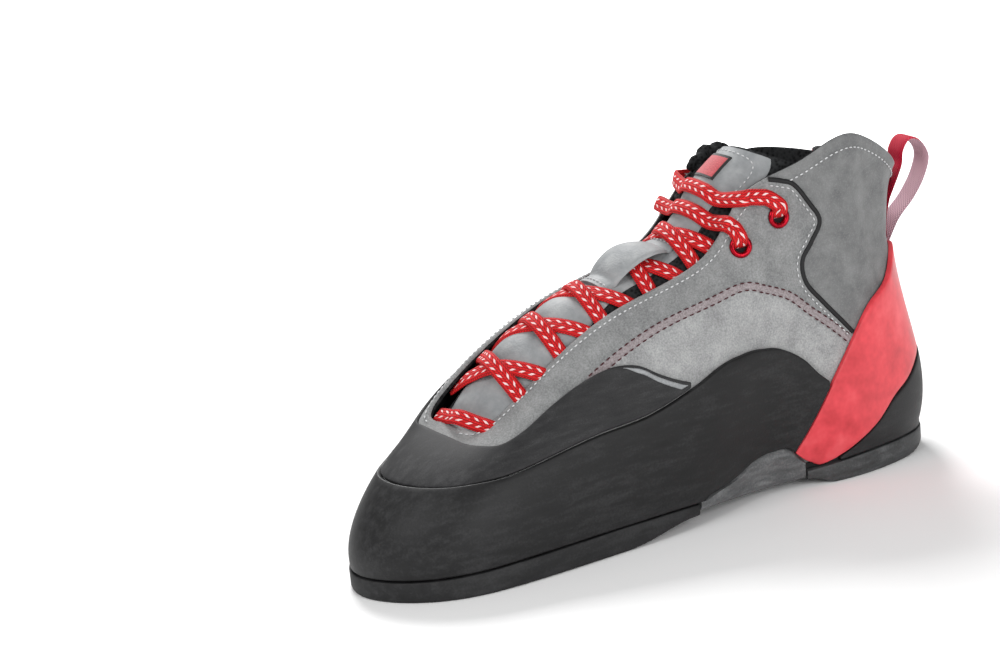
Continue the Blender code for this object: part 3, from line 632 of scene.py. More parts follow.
def red_rubber(colours):
    """Pigmented sheet rubber, glossier than the black, paler where it is stretched."""
    values = {"Specular IOR Level": 0.35, "Coat Weight": 0.12, "Coat Roughness": 0.3}
    made, tree, shader = start("Red sheet rubber", values)
    coords = object_coords(tree)
    cloud = noise(tree, coords, 14.0, 3.0)
    fine = noise(tree, coords, 0.9, 3.0)
    colour = ramp(tree, cloud, ((0.30, "#c02f38"), (0.52, colours.band_hex), (0.76, "#ea5d64")))
    tree.links.new(colour, shader.inputs["Base Color"])
    tree.links.new(span(tree, cloud, 0.3, 0.7, 0.36, 0.48), shader.inputs["Roughness"])
    bump(tree, shader, fine, 0.05)
    return made


def smooth_leather():
    """Coated microfibre leather: even grey with fine pores and a low sheen."""
    made, tree, shader = start("Coated microfibre leather", {"Roughness": 0.62})
    coords = object_coords(tree)
    pores = cells(tree, coords, 0.9)
    cloud = noise(tree, coords, 8.0, 3.0)
    tree.links.new(ramp(tree, cloud, ((0.3, "#7d8082"), (0.7, "#9a9c9d"))), shader.inputs["Base Color"])
    bump(tree, shader, pores, 0.08)
    return made


def woven(name, code, dark, thread_mm):
    """Woven webbing: threads over and under each other, lit on their crowns."""
    made, tree, shader = start(name, {"Roughness": 0.75, "Specular IOR Level": 0.3})
    uv = add(tree, "ShaderNodeTexCoord").outputs["UV"]
    parts = add(tree, "ShaderNodeSeparateXYZ", {"Vector": uv})
    turn = math.pi / (thread_mm * MM)
    a = math_node(tree, "SINE", math_node(tree, "MULTIPLY", parts.outputs["X"], turn))
    b = math_node(tree, "SINE", math_node(tree, "MULTIPLY", parts.outputs["Y"], turn))
    weave = span(tree, math_node(tree, "MULTIPLY", a, b), -1.0, 1.0)
    tree.links.new(mix(tree, weave, linear(dark), linear(code)), shader.inputs["Base Color"])
    bump(tree, shader, weave, 0.25)
    return made


def lace_weave(colours):
    """Flat braided polyester: red with pairs of white flecks and a herringbone of threads, with painted shade
    in the grooves between them.
    """
    made, tree, shader = start("Braided polyester lace", {"Roughness": 0.7, "Specular IOR Level": 0.3})
    uv = add(tree, "ShaderNodeTexCoord").outputs["UV"]
    parts = add(tree, "ShaderNodeSeparateXYZ", {"Vector": uv})
    along, across = parts.outputs["X"], parts.outputs["Y"]
    side = math_node(tree, "ABSOLUTE", across)
    slant = math_node(tree, "ADD", along, math_node(tree, "MULTIPLY", side, 1.4))
    period = 3.9 * MM
    first = math_node(tree, "FRACT", math_node(tree, "DIVIDE", slant, period))
    flip = math_node(tree, "GREATER_THAN", across, 0.0)
    half = math_node(tree, "ADD", first, math_node(tree, "MULTIPLY", flip, 0.45))
    beat = math_node(tree, "ABSOLUTE", math_node(tree, "SUBTRACT", math_node(tree, "FRACT", half), 0.5))
    dash = span(tree, beat, 0.15, 0.20, 1.0, 0.0)
    row = math_node(tree, "ABSOLUTE", math_node(tree, "SUBTRACT", side, 1.25 * MM))
    lane = span(tree, row, 0.38 * MM, 0.60 * MM, 1.0, 0.0)
    fleck = math_node(tree, "MULTIPLY", dash, lane)
    thread = math_node(tree, "SINE", math_node(tree, "MULTIPLY", slant, 2 * math.pi / (1.15 * MM)))
    cord = math_node(tree, "COSINE", math_node(tree, "MULTIPLY", side, 2 * math.pi / (1.1 * MM)))
    weave = span(tree, math_node(tree, "ADD", thread, cord), -1.6, 1.6)
    # Painted shade: the red darkens to deep red in the grooves between the threads, the same relief that the
    # bump sinks
    red = mix(tree, weave, linear("#8f060b"), linear(colours.lace_hex))
    tree.links.new(mix(tree, fleck, red, linear("#f4d6d6")), shader.inputs["Base Color"])
    bump(tree, shader, weave, 0.22)
    return made


def thread(name, code):
    """Bonded sewing thread: round, with a soft shine."""
    made, tree, shader = start(name, {"Roughness": 0.6, "Specular IOR Level": 0.3})
    grain = noise(tree, object_coords(tree), 0.5, 2.0)
    base = linear(code)
    worn = tuple(c * 0.72 for c in base[:3]) + (1.0,)
    tree.links.new(mix(tree, grain, worn, base), shader.inputs["Base Color"])
    return made


def anodised(colours):
    """Stamped aluminium, anodised red: bright edges and fine wear."""
    made, tree, shader = start("Anodised aluminium", {"Metallic": 1.0})
    wear = noise(tree, object_coords(tree), 1.2, 4.0)
    colour = ramp(tree, wear, ((0.4, "#8e1420"), (0.7, colours.eyelet_hex)))
    tree.links.new(colour, shader.inputs["Base Color"])
    tree.links.new(span(tree, wear, 0.3, 0.7, 0.22, 0.40), shader.inputs["Roughness"])
    return made


def label_cloth():
    """Dense woven label: plain red with a black merrowed border."""
    made, tree, shader = start("Woven label", {"Roughness": 0.7, "Sheen Weight": 0.2})
    rim = field(tree, "rim_mm")
    fine = noise(tree, object_coords(tree), 0.6, 2.0)
    face = ramp(tree, fine, ((0.3, "#9c2a32"), (0.7, "#c04048")))
    tree.links.new(mix(tree, span(tree, rim, 0.9, 1.1), linear("#131314"), face), shader.inputs["Base Color"])
    bump(tree, shader, fine, 0.12)
    return made


def build_materials(colours):
    """Every finish of the shoe, by a short name."""
    return {
        "suede": suede(colours),
        "lining": lining(),
        "rand": rubber("Black sheet rubber", "#0c0c0d", colours.rubber_hex, "#2e2e2f", 0.52),
        "patch": rubber("Grained sheet rubber", "#18181a", "#2a2a2b", "#444445", 0.66, 0.5),
        "sole": rubber("Sole rubber", "#121213", "#1f1f20", "#343435", 0.62),
        "arch": rubber("Arch rubber", "#424344", "#5b5c5d", "#7e7f80", 0.40),
        "heel": rubber("Heel sole rubber", "#2a2b2b", "#404142", "#5e5f60", 0.50),
        "band": red_rubber(colours),
        # Pale grey, glossy rubber that paints the highlight on the toe patch's rear upper edge
        "strip": rubber("Pale rubber of the painted highlight", "#77797a", "#8c8e90", "#b4b6b8", 0.30),
        "leather": smooth_leather(),
        "red_webbing": woven("Red webbing", "#d01136", "#98082a", 0.7),
        "pale_webbing": woven("Webbing's pale reverse", "#d8b4be", "#a5828d", 0.7),
        "black_webbing": woven("Black webbing", "#2b2b2d", "#0d0d0e", 0.7),
        "lace": lace_weave(colours),
        "white_thread": thread("White bonded thread", "#d9dadb"),
        "red_thread": thread("Dark red bonded thread", "#4a2025"),
        "black_thread": thread("Black bonded thread", "#1a1a1b"),
        "eyelet": anodised(colours),
        "label": label_cloth(),
    }


MATERIALS = {}


def finish_piece(bm, name, material, nodes, sharp):
    """Turns a bmesh into a piece that rides on the frame and stands for its nodes."""
    bmesh.ops.recalc_face_normals(bm, faces=bm.faces)
    mesh = bpy.data.meshes.new(name)
    bm.to_mesh(mesh)
    bm.free()
    piece = bpy.data.objects.new(name, mesh)
    bpy.context.scene.collection.objects.link(piece)
    for one in [material] if isinstance(material, str) else material:
        mesh.materials.append(MATERIALS[one])
    mesh.shade_smooth()
    mesh.set_sharp_from_angle(angle=math.radians(sharp))
    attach(piece, "root")
    if nodes:
        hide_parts(*nodes)
    return piece


def bend_grid(bm, points, uv=None, fields=None, close=True):
    """Adds a grid bent to points (rows, columns, 3); uv in metres; fields are values by name."""
    rows, columns = points.shape[:2]
    layer = bm.loops.layers.uv.get("UVMap") or bm.loops.layers.uv.new("UVMap")
    fields = {
        bm.verts.layers.float.get(name) or bm.verts.layers.float.new(name): values
        for name, values in (fields or {}).items()
    }
    made = bmesh.ops.create_grid(bm, x_segments=columns - 1, y_segments=rows - 1, size=1.0)["verts"]
    for vert, p in zip(made, points.reshape(-1, 3)):
        vert.co = p
    for field, values in fields.items():
        for vert, value in zip(made, values.reshape(-1)):
            vert[field] = value
    if uv is not None:
        place = {vert: pair for vert, pair in zip(made, uv.reshape(-1, 2))}
        for face in {f for vert in made for f in vert.link_faces}:
            for loop in face.loops:
                loop[layer].uv = place[loop.vert]
    bmesh.ops.remove_doubles(bm, verts=made, dist=2e-6)
    if close:
        rim = [e for e in bm.edges if e.is_boundary]
        if rim:
            bmesh.ops.holes_fill(bm, edges=rim)
    return bm


def panel_points(last, places, low, high, base, thick, rows, round_mm):
    """A layer's closed section at each place: rounded edges, its outer face and its back."""
    ease = np.array([0.0, 0.12, 0.35, 0.68])
    middle = (low + high) / 2
    near = 0.02
    run = last.point(places, middle + near) - last.point(places, middle - near)
    length = np.linalg.norm(run, axis=-1) / (2 * near)
    edge = np.minimum(round_mm * MM / length, (high - low) * 0.45)
    steps = [low + edge * e for e in ease]
    outs = [base + thick * math.sqrt(1 - (1 - e) ** 2) for e in ease]
    for k in range(rows + 1):
        steps.append(low + edge + (high - low - 2 * edge) * k / rows)
        outs.append(base + thick)
    steps += [high - edge * e for e in ease[::-1]]
    outs += [base + thick * math.sqrt(1 - (1 - e) ** 2) for e in ease[::-1]]
    back = 8
    for k in range(1, back):
        steps.append(high + (low - high) * k / back)
        outs.append(base)
    steps.append(steps[0])
    outs.append(outs[0])
    return np.array([last.layer(places, s, np.full_like(places, o)) for s, o in zip(steps, outs)])


def inner_side(place):
    """Places past the toe written as less than zero."""
    return np.where(place > TOE, place - COUNT, place)


def under_foot(sizes):
    """The height that stands for the sole's top, below the upper's foot."""
    return -(sizes.midsole_thickness + 2 * sizes.gap) / BELOW_FOOT


def rubber_line(place, sizes):
    """The top edge of the sole's rubber."""
    p = inner_side(place)
    line = along_edge(SOLE_LINE, p)
    outside = (p < SOLE_LINE[0].place) | (p > SOLE_LINE[-1].place)
    between = (p > INNER_ARCH_END) & (p < OUTER_ARCH_START)
    return np.where(outside | between, under_foot(sizes), line)


def clear_of(height, sizes):
    """The next layer's edge, one seam away."""
    return np.where(height < 0.0, height + sizes.seam_gap * 0.8, height + sizes.seam_gap)


def distance_to(points, curve):
    """Each point's distance to a densely sampled curve."""
    flat = points.reshape(-1, 3)
    out = np.empty(len(flat))
    for k in range(0, len(flat), 4000):
        part = flat[k : k + 4000]
        out[k : k + 4000] = np.sqrt(((part[:, None] - curve[None]) ** 2).sum(-1)).min(1)
    return out.reshape(points.shape[:-1])


def inside(place, height, corners):
    """Whether (place, height) lies in the polygon of corners."""
    found = np.zeros(place.shape, bool)
    for (x0, y0), (x1, y1) in zip(corners, corners[1:] + corners[:1]):
        crosses = (y0 > height) != (y1 > height)
        with np.errstate(divide="ignore", invalid="ignore"):
            x = x0 + (height - y0) * (x1 - x0) / (y1 - y0)
        found ^= crosses & (place < x)
    return found


def seam_field(last, points, places, height, seam, corners):
    """Signed distance in metres to a seam on both sides of the shoe, above zero inside the corners."""
    away = np.full(height.shape, np.inf)
    for side in (1, -1):
        path = smooth_path(seam, 240)
        away = np.minimum(away, distance_to(points, last.point(path[:, 0] * side, path[:, 1])))
    outline = [tuple(row) for row in smooth_path(seam, 60)]
    before, after = corners
    return np.where(inside(places, height, before + outline + after), away, -away)


def panel_fields(last, place, height):
    """Distances in millimetres from the arc seam, the ankle seam and the eyelets' middles."""
    points = last.point(place, height)
    places = np.abs((place + COUNT / 2) % COUNT - COUNT / 2)
    lace_panel = ([(9.5, 0.60), (6.6, 0.60)], [(2.3, 2.0), (9.5, 2.0)])
    ankle_panel = ([(-1.0, 2.0), (3.6, 2.0)], [(2.2, 0.2), (-1.0, 0.2)])
    centres = [last.point(eye, EYELET_HEIGHT) for eye in EYELETS.values()]
    return {
        "arc_mm": seam_field(last, points, places, height, ARC_SEAM, lace_panel) / MM,
        "ankle_mm": seam_field(last, points, places, height, ANKLE_SEAM, ankle_panel) / MM,
        "hole_mm": np.min([np.linalg.norm(points - c, axis=-1) for c in centres], axis=0) / MM,
    }


# The share of a stitch's half thickness that lies in the leather
STITCH_SINK = 0.3


def directions(points):
    """The unit direction of a path at each of its points."""
    run = np.gradient(points, axis=0)
    return run / np.linalg.norm(run, axis=1, keepdims=True)


def stitch_row(bm, points, normals, stitch):
    """Lays short rounded stitches along points, each sunk at both ends."""
    gaps = np.linalg.norm(np.diff(points, axis=0), axis=1)
    along = np.concatenate([[0.0], np.cumsum(gaps)])
    count = int(along[-1] / (stitch.pitch_mm * MM))
    radius = stitch.thick_mm * MM / 2
    for k in range(count):
        s = (k + 0.5) * stitch.pitch_mm * MM
        ends = []
        for d in (-0.5, 0.0, 0.5):
            at = s + d * stitch.length_mm * MM
            ends.append(np.array([np.interp(at, along, points[:, i]) for i in range(3)]))
        normal = Vector([np.interp(s, along, normals[:, i]) for i in range(3)]).normalized()
        run = Vector(ends[2] - ends[0])
        reach = run.length
        run.normalize()
        across = normal.cross(run).normalized()
        turn = Matrix((run, across, run.cross(across))).transposed().to_4x4()
        turn.translation = Vector(ends[1]) + normal * (radius * (1 - STITCH_SINK))
        made = bmesh.ops.create_icosphere(bm, subdivisions=1, radius=1.0)["verts"]
        bmesh.ops.scale(bm, vec=(reach / 2, radius * 1.1, radius), verts=made)
        bmesh.ops.transform(bm, matrix=turn, verts=made)


def seam_line(last, seam, side, out):
    """Points and normals along a seam on the creased surface, as far as the heel band."""
    path = smooth_path(seam, 300)
    path = path[path[:, 1] > along_edge(BAND_TOP, path[:, 0] * side) + 0.004]
    p, h = path[:, 0] * side, path[:, 1]
    return last.layer(p, h, np.full(len(p), out)), last.normal(p, h)


def tube(bm, points, normals, width, height, sides=12, taper=None):
    """Adds a flat oval strap along points, its face turned to the normals."""
    ahead = np.roll(points, -1, 0)
    behind = np.roll(points, 1, 0)
    ahead[-1], behind[0] = points[-1], points[0]
    run = ahead - behind
    run = run / np.linalg.norm(run, axis=1, keepdims=True)
    side = np.cross(normals, run)
    side = side / np.linalg.norm(side, axis=1, keepdims=True)
    face = np.cross(run, side)
    along = np.concatenate([[0.0], np.cumsum(np.linalg.norm(np.diff(points, axis=0), axis=1))])
    swell = np.ones(len(points)) if taper is None else taper
    rings, pairs = [], []
    for k in range(sides + 1):
        angle = 2 * math.pi * k / sides
        c = math.copysign(abs(math.cos(angle)) ** 0.62, math.cos(angle)) * width / 2
        h = math.copysign(abs(math.sin(angle)) ** 0.80, math.sin(angle)) * height / 2
        rings.append(points + side * c + face * (h * swell)[:, None])
        pairs.append(np.stack([along, np.full(len(points), c)], -1))
    return bend_grid(bm, np.array(rings), np.array(pairs))


# A strand's ends reach this share of its length past the throat's edges, and sink there
LACE_TUCK = 0.36
LACE_SINK = 0.0022


def strand_path(tongue, inner, outer, stand, arch, reach):
    """One lace strand over the tongue whose ends dive under the throat's edges."""
    f = np.linspace(-LACE_TUCK, 1 + LACE_TUCK, 41)
    a = reach * (2 * f - 1)
    s = inner + (outer - inner) * f
    past = np.maximum(0.0, np.abs(f - 0.5) - 0.5) / LACE_TUCK
    high = stand + arch * np.sin(np.pi * np.clip(f, 0, 1)) ** 2 - past * LACE_SINK
    return tongue.layer(s, a, high), tongue.normal(s, a)


class ShoeSizes(bpy.types.PropertyGroup):
    last_length: bpy.props.FloatProperty(
        name="Last length", description="Length of the bare upper", default=0.2602, unit="LENGTH"
    )
    ball_width: bpy.props.FloatProperty(
        name="Ball width", description="Width across the ball", default=0.091, unit="LENGTH"
    )
    heel_width: bpy.props.FloatProperty(
        name="Heel width", description="Width across the heel", default=0.062, unit="LENGTH"
    )
    collar_height: bpy.props.FloatProperty(
        name="Collar height", description="Height of the collar's side", default=0.138, unit="LENGTH"
    )
    instep_height: bpy.props.FloatProperty(
        name="Instep height", description="Height of the instep", default=0.095, unit="LENGTH"
    )
    wall: bpy.props.FloatProperty(
        name="Wall", description="Thickness of the upper", default=0.0022, unit="LENGTH"
    )
    gap: bpy.props.FloatProperty(
        name="Gap", description="Room between layers", default=0.00035, unit="LENGTH"
    )
    rand_thickness: bpy.props.FloatProperty(
        name="Rand", description="Thickness of the rand rubber", default=0.0020, unit="LENGTH"
    )
    patch_thickness: bpy.props.FloatProperty(
        name="Patch", description="Thickness of the toe patch", default=0.0012, unit="LENGTH"
    )
    band_thickness: bpy.props.FloatProperty(
        name="Band", description="Thickness of the heel band", default=0.0018, unit="LENGTH"
    )
    midsole_thickness: bpy.props.FloatProperty(
        name="Midsole", description="Thickness of the midsole", default=0.0022, unit="LENGTH"
    )
    sole_lip: bpy.props.FloatProperty(
        name="Sole lip", description="How far the sole stands out of the rand", default=0.0004, unit="LENGTH"
    )
    tongue_thickness: bpy.props.FloatProperty(
        name="Tongue", description="Thickness of the tongue", default=0.0030, unit="LENGTH"
    )
    lace_width: bpy.props.FloatProperty(
        name="Lace width", description="Width of the flat lace", default=0.0064, unit="LENGTH"
    )
    lace_thickness: bpy.props.FloatProperty(
        name="Lace thickness", description="Thickness of the lace", default=0.0020, unit="LENGTH"
    )
    seam_gap: bpy.props.FloatProperty(
        name="Seam", description="Share of a rib left between rubber layers", default=0.0045, subtype="FACTOR"
    )


class ShoeColours(bpy.types.PropertyGroup):
    quarter_hex: bpy.props.StringProperty(
        name="Quarter", description="sRGB hex of the side suede", default="#979898"
    )
    eyestay_hex: bpy.props.StringProperty(
        name="Eyestay", description="sRGB hex of the lace panel", default="#7f8080"
    )
    ankle_hex: bpy.props.StringProperty(
        name="Ankle", description="sRGB hex of the ankle panel", default="#6d6e6e"
    )
    rubber_hex: bpy.props.StringProperty(
        name="Rubber", description="sRGB hex of the black rubber", default="#171718"
    )
    band_hex: bpy.props.StringProperty(
        name="Band", description="sRGB hex of the heel band", default="#dc424b"
    )
    lace_hex: bpy.props.StringProperty(
        name="Lace", description="sRGB hex of the lace", default="#e01a1e"
    )
    eyelet_hex: bpy.props.StringProperty(
        name="Eyelet", description="sRGB hex of the eyelets", default="#b81c2c"
    )


class SHOE_OT_materials(bpy.types.Operator):
    """Makes the shoe's materials"""

    bl_idname = "shoe.materials"
    bl_label = "Materials"

    def execute(self, context):
        MATERIALS.update(build_materials(context.scene.shoe_colours))
        return {"FINISHED"}


# The upper's mesh, and the relief of its suede in metres
UPPER_COLUMNS = COUNT * 22
UPPER_ROWS = 84
LINING_ROWS = 30
RIM_PARTS = 6
SUEDE_SINK = 0.0002
PANEL_EDGE = 0.0005
SEAM_GROOVE = 0.0004
HOLE_SINK = 0.0012
COLLAR_PADDING = 0.0011


class SHOE_OT_upper(bpy.types.Operator):
    """Makes the hollow leather upper with its panels, padded rim and lining"""

    bl_idname = "shoe.upper"
    bl_label = "Upper"

    def execute(self, context):
        sizes = context.scene.shoe_sizes
        last = Last(sizes)
        place = np.linspace(0, COUNT, UPPER_COLUMNS + 1)
        outer_place, outer_height = np.meshgrid(place, np.linspace(0, 1, UPPER_ROWS + 1))
        fields = panel_fields(last, outer_place, outer_height)
        outer = last.layer(outer_place, outer_height, self.steps(fields) - SUEDE_SINK)
        rim = self.rim(last, place, sizes)
        inner = self.inner(last, place, sizes)
        loops = np.concatenate([outer, rim, inner, outer[:1]])
        hidden = len(rim) + len(inner)
        fields = {
            name: np.concatenate([values, np.repeat(values[-1:], hidden, axis=0), values[:1]])
            for name, values in fields.items()
        }
        bm = bend_grid(bmesh.new(), loops, None, fields, close=False)
        bm.faces.ensure_lookup_table()
        for face in bm.faces:
            face.material_index = 1 if face.index // UPPER_COLUMNS >= UPPER_ROWS + 2 else 0
        finish_piece(bm, "upper_leather", ["suede", "lining"], ["upper"], 60.0)
        return {"FINISHED"}

    def steps(self, fields):
        """The lace panel's raised edge, the ankle seam's groove and the sunk eyelet holes."""
        arc, ankle = fields["arc_mm"], fields["ankle_mm"]
        edge = PANEL_EDGE * smooth_step((arc + 0.6) / 1.2) * (ankle < 0.8)
        groove = SEAM_GROOVE * np.exp(-((ankle / 0.9) ** 2))
        hole = HOLE_SINK * smooth_step((3.4 - fields["hole_mm"]) / 1.4)
        return edge - groove - hole

    def rim(self, last, place, sizes):
        """Loops over the rounded top edge, from the leather to the lining."""
        loops = []
        lean = last.point(place, 1.0) - last.point(place, 0.99)
        lean = lean / np.linalg.norm(lean, axis=1, keepdims=True)
        for k in range(1, RIM_PARTS):
            angle = math.pi * k / RIM_PARTS
            out = sizes.wall / 2 * (math.cos(angle) - 1)
            top = last.layer(place, np.ones_like(place), np.full_like(place, out))
            loops.append(top + lean * (0.55 * sizes.wall * math.sin(angle)))
        return loops

    def inner(self, last, place, sizes):
        """Loops down the lining, padded below the collar's rim."""
        away = np.abs((place + COUNT / 2) % COUNT - COUNT / 2)
        padding = COLLAR_PADDING * smooth_step((3.6 - away) / 0.6)
        loops = []
        for t in np.linspace(1, 0, LINING_ROWS + 1):
            bulge = padding * (math.sin(math.pi * (1 - t) / 0.22) if t > 0.78 else 0.0)
            loops.append(last.layer(place, np.full_like(place, t), -sizes.wall - bulge))
        return loops


# The rubber layers: node, looks, the places where they have a section, and rows over their face
Layer = namedtuple("Layer", "node material slot places rows")
SIDE_RAND = Layer("side_rand", "rand", "rand_rubber", np.linspace(2.86, 15.12, 261), 20)
TOE_PATCH = Layer("toe_patch", "patch", "patch_rubber", np.linspace(5.32, 12.68, 181), 16)
HEEL_BAND = Layer("heel_band", "band", "band_rubber", np.linspace(-4.75, 3.45, 201), 16)
HEEL_RAND = Layer("heel_rand", "rand", "rand_rubber", np.linspace(-3.05, 2.68, 141), 16)
# The painted highlight on the toe patch's rear upper edge, a thin pale sheet: its places, how far its top
# lies below the patch's edge, and its thickness
PAINTED_HIGHLIGHT_PLACES = (5.36, 6.02)
PAINTED_HIGHLIGHT_BELOW_EDGE = 0.014
PAINTED_HIGHLIGHT_THICKNESS = 0.0006


class SHOE_OT_rubber(bpy.types.Operator):
    """Makes the rubber rand, toe patch, heel band and heel rand"""

    bl_idname = "shoe.rubber"
    bl_label = "Rubber"

    def execute(self, context):
        sizes = context.scene.shoe_sizes
        last = Last(sizes, creased=False)
        p = SIDE_RAND.places
        foot = self.side_foot(p, sizes)
        self.layer(last, SIDE_RAND, foot, along_edge(RAND_TOP, p), sizes.gap, sizes.rand_thickness)
        p = TOE_PATCH.places
        foot = clear_of(along_edge(RAND_TOP, p), sizes)
        self.layer(last, TOE_PATCH, foot, along_edge(PATCH_TOP, p), sizes.gap, sizes.patch_thickness)
        # A thin pale sheet on the patch paints the highlight on its rear upper edge
        self.strip(last, sizes)
        p = HEEL_BAND.places
        foot = np.maximum(along_edge(BAND_FOOT, p), clear_of(rubber_line(p, sizes), sizes))
        self.layer(last, HEEL_BAND, foot, along_edge(BAND_TOP, p), sizes.gap, sizes.band_thickness)
        p = HEEL_RAND.places
        foot = clear_of(rubber_line(p, sizes), sizes)
        top = along_edge(BAND_FOOT, p) - sizes.seam_gap
        self.layer(last, HEEL_RAND, foot, top, sizes.gap, sizes.rand_thickness)
        return {"FINISHED"}

    def side_foot(self, p, sizes):
        """The side rand's lower edge: the sole, or the red band where that lies below."""
        q = inner_side(p)
        low = rubber_line(p, sizes)
        over_band = (q < BAND_TOP[-1].place) & (q >= BAND_TOP[0].place)
        band = along_edge(BAND_TOP, q)
        low = np.where(over_band & (q < 0), np.maximum(low, band), np.where(over_band, band, low))
        return clear_of(low, sizes)

    def layer(self, last, row, low, high, base, thick):
        """One layer of rubber between two heights, base metres off the last."""
        loops = panel_points(last, row.places, low, high, base, thick, row.rows, 0.7)
        bm = bend_grid(bmesh.new(), loops)
        finish_piece(bm, row.node + "_rubber", row.material, [row.node], 50.0)

    def strip(self, last, sizes):
        """The painted highlight along the toe patch's rear upper edge: a thin pale sheet on the patch, with
        both its ends drawn to a point.
        """
        places = np.linspace(*PAINTED_HIGHLIGHT_PLACES, 41)
        top = along_edge(PATCH_TOP, places) - PAINTED_HIGHLIGHT_BELOW_EDGE
        wide = 0.020 * smooth_step((places - 5.34) / 0.10) * smooth_step((6.04 - places) / 0.18) + 0.001
        base = sizes.gap + sizes.patch_thickness - PAINTED_HIGHLIGHT_THICKNESS / 2
        loops = panel_points(last, places, top - wide, top, base, PAINTED_HIGHLIGHT_THICKNESS, 4, 0.6)
        bm = bend_grid(bmesh.new(), loops)
        finish_piece(bm, "painted_patch_highlight", "strip", [], 50.0)


# The sole's pieces, in sections from the toe and metres
OUTSOLE_STEPS = 3.88
OUTSOLE_TAPER = 0.88
OUTSOLE_END = 0.0045
OUTSOLE_ROUND = (0.0014, 0.0018)
HEEL_STEPS = 5.75
HEEL_RAMP = 0.50
HEEL_FRONT = 0.0036
HEEL_BACK_FROM = 7.6
HEEL_BACK_LIFT = 0.0040
HEEL_BACK_IN = 0.0045
HEEL_ROUND = (0.0012, 0.0024)
INSOLE_ENDS = 0.5
INSOLE_INSET = 0.0008
INSOLE_TOP = 0.0025
INSOLE_FOOT = 0.0002
ARCH_FRONT = OUTSOLE_STEPS + 0.030
ARCH_BACK = HEEL_STEPS - 0.036
ARCH_THICKNESS = 0.0030
ARCH_ROUND = 0.0026
ARCH_LOWEST = -0.020
UPWARD = np.array([0.0, 0.0, 1.0])


def bridge(start, end, pieces):
    """The rows between two rows of points, without the two themselves."""
    return [start + (end - start) * k / pieces for k in range(1, pieces)]


